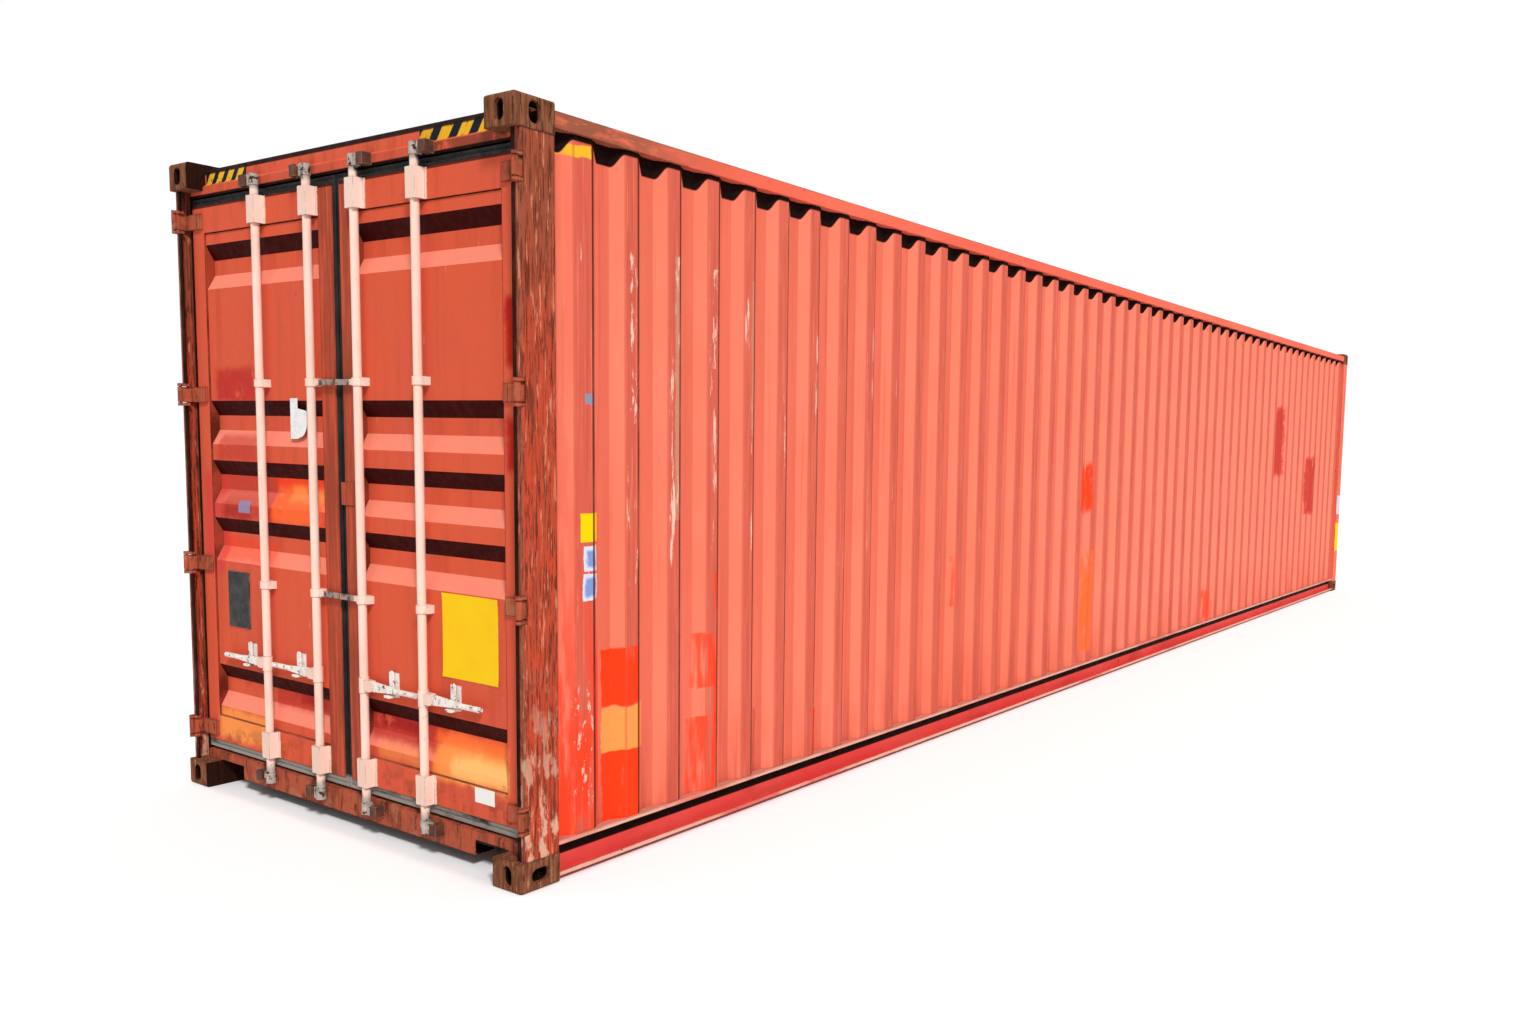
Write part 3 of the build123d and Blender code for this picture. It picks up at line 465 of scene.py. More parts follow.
def wall_touches(f, away, outside, worn, smeared):
    """Small touched-up and rubbed areas near the doors."""
    flaked = f.ramp(f.noise(34.0, (1.0, 1.0, 0.20), detail=7.0, roughness=0.72), 0.52, 0.58)
    # Run from the door end, heights, colour, wear and share
    painted = (
        ((0.43, 0.60), (0.625, 0.86), PATCH_RED, worn, 1.0),
        ((0.43, 0.60), (0.10, 0.46), PATCH_RED, worn, 1.0),
        ((0.43, 0.635), (0.44, 0.62), PATCH_ORANGE, worn, 1.0),
        ((0.92, 1.045), (0.62, 0.86), PATCH_RED, smeared, 0.75),
        ((0.90, 1.05), (0.10, 0.49), PATCH_RED, smeared, 0.8),
        ((1.035, 1.055), (0.45, 1.12), PATCH_RED, smeared, 0.8),
        ((1.29, 1.35), (0.10, 0.46), PATCH_MAROON, smeared, 0.35),
        ((1.74, 1.80), (0.14, 0.38), PATCH_RED, smeared, 0.9),
        ((1.74, 1.78), (0.60, 0.72), PATCH_RED, smeared, 0.8),
        ((3.04, 3.09), (0.75, 1.05), PATCH_RED, smeared, 0.6),
        ((0.20, 0.36), (2.73, 2.775), STRIPE_YELLOW, worn, 1.0),
        ((0.798, 0.832), (1.36, 2.44), BARE_TAN, worn, 0.85),
        ((0.800, 0.830), (1.80, 2.44), BARE_PALE, flaked, 0.9),
        ((0.555, 0.592), (1.75, 2.42), BARE_PALE, flaked, 0.9),
        ((1.020, 1.048), (2.00, 2.42), BARE_PALE, flaked, 0.7),
        ((1.270, 1.304), (1.72, 2.40), BARE_TAN, worn, 0.75),
        ((1.762, 1.792), (1.46, 2.10), BARE_TAN, smeared, 0.7),
    )
    for across, heights, colour, torn, share in painted:
        mask = f.patch(away, across, heights, ragged=min(TOUCH_RAGGED, across[1] - across[0]))
        f.layer(colour, mask, torn, outside, share)


def wall_strokes(f, away, outside, worn):
    """Brushed strokes of other reds further along the wall."""
    # Run from the door end, heights, colour and share
    brushed = (
        ((4.79, 4.93), (1.24, 1.58), PATCH_RED, 0.95),
        ((4.84, 5.04), (0.24, 0.95), PATCH_FLAME, 0.95),
        ((7.36, 7.62), (0.18, 0.44), PATCH_RED, 0.7),
        ((9.38, 9.72), (1.45, 2.15), PATCH_BRICK, 0.9),
        ((10.62, 10.96), (1.01, 1.64), PATCH_BRICK, 0.9),
    )
    for across, heights, colour, share in brushed:
        mask = f.patch(away, across, heights, ragged=0.13, soft=0.035)
        f.layer(colour, mask, worn, outside, share)


# Width and height of a label's rim
LABEL_RIM = (0.014, 0.016)


def wall_labels(f, away, outside):
    """Bare labels near the door end, some of them torn."""
    # Run from the door end, heights, colours of rim and middle, and raggedness
    stuck = (
        ((0.300, 0.40), (1.295, 1.405), YELLOW, YELLOW, 0.006),
        ((0.315, 0.395), (1.18, 1.28), LABEL_PALE, LABEL_BLUE, 0.02),
        ((0.310, 0.40), (1.07, 1.17), LABEL_PALE, LABEL_BLUE, 0.03),
        ((0.325, 0.375), (1.82, 1.86), LABEL_GREY, LABEL_GREY, 0.01),
    )
    wide, tall = LABEL_RIM
    for (start, end), (low, high), rim, heart, torn in stuck:
        f.layer(rim, f.patch(away, (start, end), (low, high), torn, 0.001), outside)
        middle = ((start + wide, end - wide), (low + tall, high - tall))
        inside = f.patch(away, *middle, ragged=0.05, soft=0.008)
        f.layer(heart, inside, outside, 0.9)


# Heights on a leaf: rust over its foot and painted shade along its head
FOOT_RUST = 0.16
HEAD_SHADE = 0.010


def door_paint(name):
    """Red door paint, with painted shade under the grooves and a painted highlight on slopes that
    face up.
    """
    f = Finish(name, DOOR_RED)
    span = f.math("ABSOLUTE", f.y)
    f.layer(CORAL_DULL, f.cloud(1.6, 0.35, 0.7, end=0.45))
    f.layer(DOOR_DEEP, f.streaks(13.0, 0.45, 0.78, 0.06, end=0.28))
    # Painted highlight on the slopes that face up
    f.layer(DOOR_HIGHLIGHT, f.ramp(f.turn[2], 0.12, 0.35, 0.0, 0.85))
    outside = f.ramp(f.turn[0], -0.25, -0.05, 1.0, 0.0)
    door_patches(f, outside)
    f.layer(BARE_PALE, f.ramp(f.noise(24.0, (1.0, 1.0, 0.2), detail=6.0), 0.70, 0.74), 0.5)
    meeting = f.ramp(span, PANEL_EDGE - 0.004, PANEL_EDGE + 0.004, 1.0, 0.0)
    f.layer(STILE_BROWN, meeting, f.streaks(40.0, 0.3, 0.6, 0.06, 0.25, 0.9))
    f.worn_edges(0.008, 8.0, (0.40, 0.55), 0.7, RUST)
    low_rust = f.ramp(f.z, LEAF_LOW.z, LEAF_LOW.z + FOOT_RUST, 0.6, 0.0)
    f.layer(RUST, low_rust, f.cloud(12.0, 0.45, 0.62))
    f.rust(0.72, 0.75, 8.0)
    # Painted shade under the grooves, on faces that look down
    under = f.ramp(f.turn[2], -0.12, -0.35)
    f.layer(GROOVE_SHADE, under)
    f.layer(GROOVE_SHADE_RED, under, f.cloud(3.0, 0.50, 0.75, end=0.5))
    # Painted shade of the header along the leaf's head
    head = f.band(f.z, LEAF_HIGH.z - HEAD_SHADE, LEAF_HIGH.z + HEAD_SHADE, 0.002)
    f.layer(GRIME_AND_SHADE, head, 0.85)
    f.layer(GRIME_AND_SHADE, panel_seam(f, span), f.cloud(5.0, 0.30, 0.6, 0.85, 0.5))
    door_labels(f, outside)
    return f.done(roughness=(0.5, 0.75), grain=260.0, depth=0.0005, dents=0.012)


SEAM_HALF = 0.0025


def panel_seam(f, span):
    """Dirty seam all round a door panel."""
    across = f.band(span, PANEL_EDGE, PANEL_FAR, SEAM_HALF)
    upright = f.band(f.z, PANEL_LOW.z, PANEL_HIGH.z, SEAM_HALF)
    lines = []
    for limit in (PANEL_EDGE, PANEL_FAR):
        lines.append(f.times(f.band(span, limit - SEAM_HALF, limit + SEAM_HALF, 0.001), upright))
    for limit in (PANEL_LOW.z, PANEL_HIGH.z):
        lines.append(f.times(f.band(f.z, limit - SEAM_HALF, limit + SEAM_HALF, 0.001), across))
    return f.most(*lines)


def door_patches(f, outside):
    """Touched-up areas on the two doors."""
    worn = f.ramp(f.noise(11.0, detail=5.0), 0.27, 0.42)
    # Limits across, heights, colour and share
    painted = (
        ((0.67, 1.00), (1.82, 1.97), PATCH_BRICK, 0.95),
        ((0.68, 1.00), (1.55, 1.67), PATCH_BRICK, 0.6),
        ((0.56, 1.04), (1.40, 1.54), PATCH_BRICK, 0.7),
        ((0.56, 0.98), (1.28, 1.40), PATCH_BRICK, 0.65),
        ((0.74, 0.99), (1.28, 1.35), PATCH_MAROON, 0.5),
        ((0.98, 1.12), (1.02, 1.50), CRIMSON, 0.7),
        ((0.18, 0.58), (1.44, 1.54), PATCH_RED, 0.7),
        ((0.16, 0.56), (1.29, 1.45), PATCH_FLAME, 0.9),
        ((0.16, 0.44), (1.38, 1.44), PATCH_ORANGE, 0.75),
        ((0.58, 1.02), (1.09, 1.19), PATCH_RED, 0.45),
        ((0.64, 1.06), (0.24, 0.38), PATCH_ORANGE, 0.95),
        ((0.12, 0.62), (0.45, 0.54), PATCH_BRICK, 0.75),
        ((0.20, 0.42), (0.47, 0.53), PATCH_MAROON, 0.6),
        ((-0.12, -0.62), (0.42, 0.54), PATCH_BRICK, 0.85),
        ((-0.20, -0.46), (0.47, 0.53), PATCH_MAROON, 0.75),
        ((-0.22, -0.53), (0.35, 0.41), PATCH_ORANGE, 0.45),
        ((-0.58, -1.06), (0.33, 0.50), PATCH_ORANGE, 1.0),
        ((-0.70, -1.06), (0.35, 0.43), PATCH_SUNNY, 0.9),
        ((-0.56, -1.06), (0.46, 0.52), PATCH_FLAME, 0.7),
        ((-1.07, -1.14), (1.95, 2.20), PATCH_CARMINE, 0.95),
        ((-1.07, -1.14), (1.56, 1.76), PATCH_CARMINE, 0.9),
    )
    for across, heights, colour, share in painted:
        mask = f.patch(f.y, across, heights, ragged=0.06, soft=0.022)
        f.layer(colour, mask, worn, outside, share)


def door_labels(f, outside):
    """Bare labels stuck on the two doors."""
    # Limits across, heights and colour
    stuck = (
        ((-0.86, -0.98), (0.275, 0.335), LABEL_WHITE),
        ((0.745, 0.845), (1.315, 1.37), LABEL_LILAC),
    )
    for across, heights, colour in stuck:
        mask = f.patch(f.y, across, heights, ragged=0.008, soft=0.001)
        f.layer(colour, mask, outside)


# Door posts: heights of brown and of flakes, and pale corner and painted shade on the inner side,
# from their faces
BROWN_HEIGHTS = (1.85, 2.55)
FLAKE_HEIGHTS = (0.12, 0.95)
CORNER_REACH = (0.016, 0.006)
INNER_SHADE_REACH = (0.022, 0.030)


def rusted_post(name):
    """Door posts: streaked rust, brown on the end face and redder on the side."""
    f = Finish(name, POST_RED)
    span = f.math("ABSOLUTE", f.y)
    end = f.ramp(f.turn[0], -0.6, -0.4, 1.0, 0.0)
    f.layer(POST_STREAK, f.streaks(60.0, 0.40, 0.60, 0.05, end=0.8))
    f.layer(POST_HIGH, f.ramp(f.z, *BROWN_HEIGHTS, 0.0, 0.7))
    f.layer(POST_END, end, 0.8)
    f.layer(POST_DARK, f.streaks(110.0, 0.50, 0.62, 0.07, end=0.85))
    f.layer(POST_PALE, f.streaks(95.0, 0.57, 0.66, 0.08, end=0.9))
    f.layer(POST_CRACK, f.streaks(180.0, 0.55, 0.63, 0.06, end=0.8))
    low = f.ramp(f.z, *FLAKE_HEIGHTS, 1.0, 0.0)
    f.layer(POST_FLAKE, low, f.streaks(22.0, 0.50, 0.60, 0.4), 0.9)
    f.worn_edges(0.010, 16.0, (0.35, 0.55), 0.6, RUST_DARK)
    f.rust(0.66, 0.72, 11.0)
    at_end = f.ramp(f.x, *(REAR + reach for reach in CORNER_REACH))
    at_side = f.ramp(span, *(SIDE - reach for reach in CORNER_REACH))
    rubbed = f.streaks(20.0, 0.46, 0.58, 0.08)
    f.layer(POST_CORNER, at_end, at_side, rubbed, 0.85)
    # Painted shade on the inner side of the end face, beside the doors
    inner = f.ramp(span, *(SIDE - reach for reach in INNER_SHADE_REACH))
    f.layer(GRIME_AND_SHADE, inner, f.streaks(9.0, 0.30, 0.60, 0.3, 1.0, 0.9))
    return f.done(roughness=(0.62, 0.9), grain=120.0, depth=0.0026)


# Bare labels on a front post: distances from the front, then heights, share and colour of each
LABEL_REACH = (0.165, 0.015)
POST_LABELS = (
    ((0.50, 0.84), 1.0, YELLOW),
    ((0.95, 1.18), 0.8, LABEL_PALE),
)


def front_post_paint(name):
    """Posts of the closed end: coral with rusty edges, and bare labels on the right one."""
    f = Finish(name, CORAL)
    f.layer(CORAL_DULL, f.streaks(18.0, 0.35, 0.7, 0.05, end=0.6))
    on_side = f.ramp(f.y, RIGHT + 0.02, RIGHT + 0.03, 1.0, 0.0)
    outside = f.times(on_side, f.band(f.x, *(FRONT - reach for reach in LABEL_REACH), 0.002))
    for heights, share, colour in POST_LABELS:
        f.layer(colour, outside, f.band(f.z, *heights, 0.004), share)
    f.worn_edges(0.010, 12.0, (0.35, 0.52), 0.85, RUST_DARK)
    f.rust(0.66, 0.72, 8.0)
    return f.done(roughness=(0.5, 0.78), grain=200.0, depth=0.0008)


# Run from the door end over which the brown of a top rail fades
RAIL_BROWNING = (0.35, 1.25)


def rail_paint(name):
    """Top rails: coral with browned ends and chipped edges."""
    f = Finish(name, RAIL_CORAL)
    f.layer(CORAL, f.cloud(1.1, 0.35, 0.7, end=0.7))
    rear_end = f.ramp(f.x, *(REAR + run for run in RAIL_BROWNING), 1.0, 0.0)
    torn = f.ramp(f.noise(34.0, (0.25, 1.0, 1.0), detail=6.0), 0.25, 0.55)
    f.layer(RAIL_BROWN, rear_end, torn)
    f.layer(RUST_PALE, rear_end, f.ramp(f.noise(60.0, (0.2, 1.0, 1.0)), 0.56, 0.64))
    f.worn_edges(0.008, 9.0, (0.35, 0.52), 0.85, RUST)
    f.rust(0.68, 0.73, 6.0)
    return f.done(roughness=(0.5, 0.75), grain=200.0, depth=0.0006)


# Heights on a bottom rail: painted shade on its web under the ledge, and the dusty ledge over it
WEB_SHADE = (0.088, 0.150)
LEDGE = (0.150, 0.156)


def lower_rail_paint(name):
    """Bottom rails: crimson web with dusty lips and painted shade in its upper corner."""
    f = Finish(name, CRIMSON)
    f.layer(CRIMSON_PALE, f.cloud(1.4, 0.35, 0.7, end=0.6))
    f.layer(DOOR_DEEP, f.ramp(f.noise(6.0, (0.3, 1.0, 1.0)), 0.5, 0.7), 0.4)
    inset = f.math("SUBTRACT", -RAIL_LOW.y, f.math("ABSOLUTE", f.y))
    lip = f.ramp(inset, 0.010, 0.004)
    f.layer(DUST, lip, f.ramp(f.noise(7.0, (0.3, 1.0, 1.0)), 0.34, 0.52, 0.25, 0.95))
    f.layer(LEDGE_DUST, f.ramp(f.z, *LEDGE), f.cloud(9.0, 0.30, 0.6, 0.6, 0.95))
    # Painted shadow of the top flange in the web's upper corner
    f.layer(GRIME_AND_SHADE, f.ramp(inset, 0.018, 0.024), f.band(f.z, *WEB_SHADE, 0.003))
    f.worn_edges(0.006, 10.0, (0.42, 0.6), 0.7, RUST)
    f.rust(0.68, 0.72, 7.0)
    return f.done(roughness=(0.5, 0.78), grain=200.0, depth=0.0008)


# Header: its lip and the painted shade on its foot from below, its dark cap from above, and its
# brown end
HEADER_LIP = (0.046, 0.042)
HEADER_FOOT = (0.014, 0.008)
HEADER_CAP = (0.024, 0.018)
BROWNED_END = (-0.62, -0.66)

# Striped fields of the header: limits across and bars per metre, then margins below and above
STRIPE_FIELDS = ((-1.045, -0.56, 8.2), (0.70, 1.045, 12.0))
STRIPE_MARGINS = (0.052, 0.012)
STRIPE_SLANT = 0.75
BAR_LIMITS = (0.22, 0.78)


def header_paint(name):
    """Door header: worn red with slanted yellow and black bars at both ends."""
    f = Finish(name, HEADER_RED)
    up = f.math("SUBTRACT", f.z, HEADER_LOW.z)
    f.layer(DOOR_DEEP, f.streaks(18.0, 0.45, 0.75, 0.2, end=0.4))
    f.rust(0.66, 0.72, 8.0)
    lip = f.ramp(up, *HEADER_LIP)
    right_end = f.ramp(f.y, *BROWNED_END, 0.25, 0.95)
    f.layer(HEADER_BROWN, lip, right_end, f.cloud(16.0, 0.30, 0.5))
    # Painted shade along the header's foot
    f.layer(GRIME_AND_SHADE, f.ramp(up, *HEADER_FOOT))
    header_stripes(f)
    f.layer(BLACK, f.ramp(f.z, *(HEADER_HIGH.z - drop for drop in HEADER_CAP), 0.0, 0.97))
    f.worn_edges(0.006, 14.0, (0.40, 0.58), 0.6, RUST_DARK)
    return f.done(roughness=(0.5, 0.78), grain=200.0, depth=0.0008)


def header_stripes(f):
    """Chipped yellow bars on dark fields at both ends of the header."""
    below, above = STRIPE_MARGINS
    high = f.band(f.z, HEADER_LOW.z + below, HEADER_HIGH.z - above, 0.002)
    chipped = f.cloud(40.0, 0.30, 0.42)
    slant = f.math("MULTIPLY_ADD", f.z, STRIPE_SLANT, f.y)
    for low, far, pitch in STRIPE_FIELDS:
        bars = f.math("FRACT", f.math("MULTIPLY", slant, pitch))
        field = f.times(f.band(f.y, low, far, 0.003), high)
        f.layer(STRIPE_NAVY, field)
        f.layer(STRIPE_YELLOW, field, f.band(bars, *BAR_LIMITS, 0.02), chipped)


# Painted shade in the sill's channel: behind its skin and below its cap
SILL_SKIN = (0.008, 0.012)
SILL_CAP = 0.02


def sill_paint(name, rim, rim_start):
    """Sill and hinges: paint beaten down to brown rust, with a dark rim and painted shade at the
    back.
    """
    f = Finish(name, SILL_BROWN)
    f.layer(RUST, f.streaks(20.0, 0.42, 0.70, 0.3, end=0.8))
    f.layer(RUST_DARK, f.streaks(50.0, 0.54, 0.68, 0.2, end=0.8))
    f.layer(RUST_PALE, f.cloud(9.0, 0.54, 0.66, end=0.7))
    f.worn_edges(0.008, 20.0, (rim_start, rim_start + 0.15), 0.8, rim)
    behind = f.ramp(f.x, *(SILL_LOW.x + skin for skin in SILL_SKIN))
    # Painted shade in the channel behind the sill's face
    f.layer(GRIME_AND_SHADE, behind, f.band(f.z, 0.0, SILL_HIGH.z - SILL_CAP, 0.004))
    return f.done(roughness=(0.6, 0.9), grain=140.0, depth=0.0018)


# Hollow of a casting that gets painted shade, measured from the container's end, side, and floor or
# top
CAST_HOLLOW = ((0.014, 0.160), (0.014, 0.146), (0.014, 0.104))


def cast_iron(name):
    """Corner castings: rough iron with streaks like grain, and painted shade inside and on the
    inner sides.
    """
    f = Finish(name, CAST_BROWN)
    f.layer(CAST_STREAK, f.streaks(60.0, 0.40, 0.60, 0.10, end=0.9))
    f.layer(CAST_DARK, f.streaks(110.0, 0.52, 0.64, 0.10, end=0.9))
    f.layer(CAST_PALE, f.streaks(90.0, 0.60, 0.68, 0.12, end=0.8))
    f.worn_edges(0.012, 24.0, (0.42, 0.56), 0.8, CAST_EDGE)
    from_end = f.math("SUBTRACT", FRONT, f.math("ABSOLUTE", f.x))
    from_side = f.math("SUBTRACT", SIDE, f.math("ABSOLUTE", f.y))
    from_floor = f.math("MINIMUM", f.z, f.math("SUBTRACT", TOP, f.z))
    ways = zip((from_end, from_side, from_floor), CAST_HOLLOW)
    hollow = [f.band(way, *limits, 0.004) for way, limits in ways]
    # Painted shade in the casting's hollow
    f.layer(GRIME_AND_SHADE, *hollow, 0.95)
    inward = f.ramp(f.times(f.turn[1], f.y), -0.5, -0.8)
    # Painted shade on the faces that look in towards the doors
    f.layer(GRIME_AND_SHADE, inward, 0.92)
    return f.done(roughness=(0.65, 0.92), grain=110.0, depth=0.003)


def under_paint(name):
    """Underframe: dull red-brown under road dust."""
    f = Finish(name, UNDER_RED)
    f.layer(UNDER_DUST, f.cloud(3.0, 0.35, 0.7, end=0.8))
    f.layer(DUST, f.ramp(f.turn[2], 0.3, 0.8, 0.0, 0.5))
    f.rust(0.56, 0.66, 7.0)
    return f.done(roughness=(0.7, 0.95), grain=150.0, depth=0.0015)


# Rubbed steel on the gear: below and above the leaves, and on the tongues beside the seam
CAM_BELOW = (0.200, 0.160)
CAM_ABOVE = (0.015, 0.035)
TONGUE = (0.120, 0.105)


def gear_paint(name):
    """Lock rods and brackets: pale paint with dark edges, rubbed to grey steel at the cams."""
    f = Finish(name, CREAM)
    f.layer(CREAM_DULL, f.cloud(3.0, 0.35, 0.7, end=0.5))
    f.layer(CREAM_RUSTY, f.streaks(60.0, 0.58, 0.75, 0.05, end=0.45))
    f.layer(STEEL_DARK, f.ramp(f.noise(30.0, detail=6.0), 0.68, 0.73), 0.6)
    above = f.ramp(f.z, *(LEAF_HIGH.z + rise for rise in CAM_ABOVE))
    ends = f.most(f.ramp(f.z, *CAM_BELOW), above)
    f.layer(STEEL, ends, f.cloud(26.0, 0.30, 0.50, 0.6, 1.0))
    f.layer(RUST_DARK, ends, f.cloud(34.0, 0.52, 0.62))
    tongue = f.ramp(f.math("ABSOLUTE", f.y), *TONGUE)
    f.layer(TONGUE_DARK, tongue, f.cloud(30.0, 0.35, 0.55, 0.95, 0.6))
    f.worn_edges(0.004, 20.0, (0.40, 0.56), 0.85, GEAR_EDGE)
    return f.done(roughness=(0.45, 0.68), grain=240.0, depth=0.0006, gloss=0.1)


def worn_steel(name):
    """Handles and catches: pale worn metal with brown pitting."""
    f = Finish(name, HANDLE_PALE)
    f.layer(HANDLE_GREY, f.cloud(14.0, 0.44, 0.70, end=0.7))
    f.layer(HANDLE_PIT, f.ramp(f.noise(36.0, detail=6.0), 0.57, 0.64), 0.9)
    f.layer(RUST, f.ramp(f.noise(20.0, detail=6.0), 0.64, 0.71), 0.9)
    f.layer(RUST_DARK, f.cloud(60.0, 0.64, 0.70, end=0.9))
    return f.done(roughness=(0.45, 0.7), grain=120.0, depth=0.003, gloss=0.15)


def keeper_iron(name):
    """Keepers: dark forged iron with rusty rubbed edges."""
    f = Finish(name, KEEPER_DARK)
    f.layer(RUST, f.cloud(22.0, 0.40, 0.66, end=0.9))
    f.worn_edges(0.006, 24.0, (0.38, 0.55), 0.9, RUST_PALE)
    return f.done(roughness=(0.5, 0.8), grain=140.0, depth=0.0015, metallic=0.2, gloss=0.3)


# Heights from a leaf's foot over which the dust on its seal grows
DUST_HEIGHTS = (0.02, -0.005)


def rubber(name):
    """Door seals: black rubber greyed by dust along the sill."""
    f = Finish(name, BLACK)
    f.layer(RUBBER_GREY, f.cloud(6.0, 0.40, 0.75, end=0.3))
    low = f.ramp(f.z, *(LEAF_LOW.z + rise for rise in DUST_HEIGHTS))
    f.layer(RUBBER_DUST, low, f.ramp(f.noise(14.0, (1.0, 0.3, 1.0)), 0.28, 0.5), 0.9)
    return f.done(roughness=(0.42, 0.7), grain=300.0, depth=0.0005, gloss=0.15)


def plywood(name):
    """Floor sheets: brown varnished ply, scratched along its length."""
    f = Finish(name, PLY_BROWN)
    f.layer(PLY_GRAIN, f.ramp(f.noise(40.0, (0.05, 1.0, 1.0), detail=6.0), 0.35, 0.65))
    f.layer(PLY_SCRATCH, f.ramp(f.noise(90.0, (0.02, 1.0, 1.0)), 0.60, 0.68), 0.7)
    f.layer(PLY_STAIN, f.cloud(2.2, 0.45, 0.7, end=0.6))
    return f.done(roughness=(0.5, 0.8), grain=180.0, depth=0.0008)


def plate_metal(name):
    """Bare dark plate with a scuffed face."""
    f = Finish(name, PLATE_DARK)
    f.layer(PLATE_SCUFF, f.cloud(9.0, 0.45, 0.75, end=0.5))
    f.layer(PLATE_EDGE, f.edges(0.004), f.cloud(30.0, 0.35, 0.55))
    return f.done(roughness=(0.4, 0.65), grain=200.0, depth=0.0005, metallic=0.4, gloss=0.3)


def placard_paint(name):
    """Bare yellow placard, faded and scuffed at its rim."""
    f = Finish(name, YELLOW)
    f.layer(YELLOW_DEEP, f.cloud(4.0, 0.35, 0.7, end=0.5))
    f.layer(DUST, f.ramp(f.noise(30.0, (1.0, 1.0, 0.3), detail=6.0), 0.66, 0.72), 0.5)
    f.worn_edges(0.002, 40.0, (0.45, 0.65), 0.6, YELLOW_BURNT)
    return f.done(roughness=(0.4, 0.6), grain=200.0, depth=0.0003, gloss=0.1)


def card_paper(name):
    """White card with grey smudges and dusty specks."""
    f = Finish(name, LABEL_WHITE)
    f.layer(LABEL_PALE, f.cloud(30.0, 0.40, 0.70, end=0.5))
    f.layer(DUST, f.ramp(f.noise(60.0, detail=6.0), 0.62, 0.70), 0.6)
    return f.done(roughness=(0.6, 0.8), grain=200.0, depth=0.0003)


# Widths of rounded edges, and the reach within which points are joined first
SHEET_ROUND = 0.007
CAST_ROUND = 0.003
TUBE_ROUND = 0.002
PLATE_ROUND = 0.0015
GEAR_ROUND = 0.0012
WELD_REACH = 0.00002


def soften(node, width, segments=2, angle=25.0):
    """Round the edges of a carried-over node without moving it."""
    piece = nodes[node]
    weld = piece.modifiers.new("join", "WELD")
    weld.merge_threshold = WELD_REACH
    bevel = piece.modifiers.new("round", "BEVEL")
    bevel.width = width
    bevel.segments = segments
    bevel.limit_method = "ANGLE"
    bevel.angle_limit = math.radians(angle)
    bevel.use_clamp_overlap = True
    shade = piece.modifiers.new("shade", "WEIGHTED_NORMAL")
    shade.keep_sharp = False


def dress(material, *names):
    """Give carried-over nodes one material."""
    for name in names:
        piece = nodes[name]
        piece.data.materials.clear()
        piece.data.materials.append(material)


def mesh_object(name, mesh, material):
    """New object of a finished mesh in one material."""
    data = bpy.data.meshes.new(name)
    mesh.to_mesh(data)
    mesh.free()
    data.materials.append(material)
    made = bpy.data.objects.new(name, data)
    bpy.context.scene.collection.objects.link(made)
    return made


def add_piece(name, mesh, body, material):
    """Finish a new piece that rides on a body."""
    bmesh.ops.recalc_face_normals(mesh, faces=mesh.faces)
    piece = mesh_object(name, mesh, material)
    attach(piece, body)
    return piece


def shade_smooth(piece, angle=40.0):
    """Smooth shading that keeps edges sharper than the angle."""
    piece.data.shade_smooth()
    piece.data.set_sharp_from_angle(angle=math.radians(angle))


def bridge(mesh, ring, following):
    """Faces between two closed rings with the same number of points."""
    for step in range(len(ring)):
        beyond = (step + 1) % len(ring)
        mesh.faces.new((ring[step], ring[beyond], following[beyond], following[step]))


def thicken(piece, thickness):
    """Turn a bare sheet into a plate about its middle."""
    thick = piece.modifiers.new("thick", "SOLIDIFY")
    thick.thickness = thickness
    thick.offset = 0.0


# Profile of a door seal: share of the way from the leaf to the frame, and depth behind its front
SEAL_PROFILE = (
    (0.00, 0.016), (0.00, 0.003), (0.10, 0.0005), (0.25, 0.0), (0.42, 0.002), (0.52, 0.006),
    (0.60, 0.009), (0.72, 0.007), (0.86, 0.003), (0.95, 0.0025), (1.00, 0.005), (0.98, 0.009),
    (0.84, 0.012), (0.60, 0.015), (0.30, 0.016),
)


def corners(low, high):
    """Four corners of a box as seen from the doors."""
    return [(low.y, low.z), (high.y, low.z), (high.y, high.z), (low.y, high.z)]


def door_seal(side, sign):
    """Rubber seal with a round bead and an outer lip, mitred at the corners."""
    mesh = bmesh.new()
    inner = corners(LEAF_LOW, LEAF_HIGH)
    outer = corners(SEAL_LOW, SEAL_HIGH)
    loops = []
    for share, depth in SEAL_PROFILE:
        loop = []
        for (y0, z0), (y1, z1) in zip(inner, outer):
            y = y0 + share * (y1 - y0)
            z = z0 + share * (z1 - z0)
            loop.append(mesh.verts.new((SEAL_LOW.x + depth, sign * y, z)))
        loops.append(loop)
    for loop, following in zip(loops, loops[1:] + loops[:1]):
        bridge(mesh, loop, following)
    piece = add_piece(f"{side}_seal", mesh, f"{side}_door", materials["rubber"])
    shade_smooth(piece)
    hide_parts(f"{side}_door_seal")


# Bare yellow placard on the right door
PLACARD_ACROSS = (-1.005, -0.666)
PLACARD_HEIGHTS = (0.745, 1.078)
PLACARD_STEPS = 12
PLACARD_THICK = 0.0012
PLACARD_CURL = 0.003
PLACARD_STIFF = 6


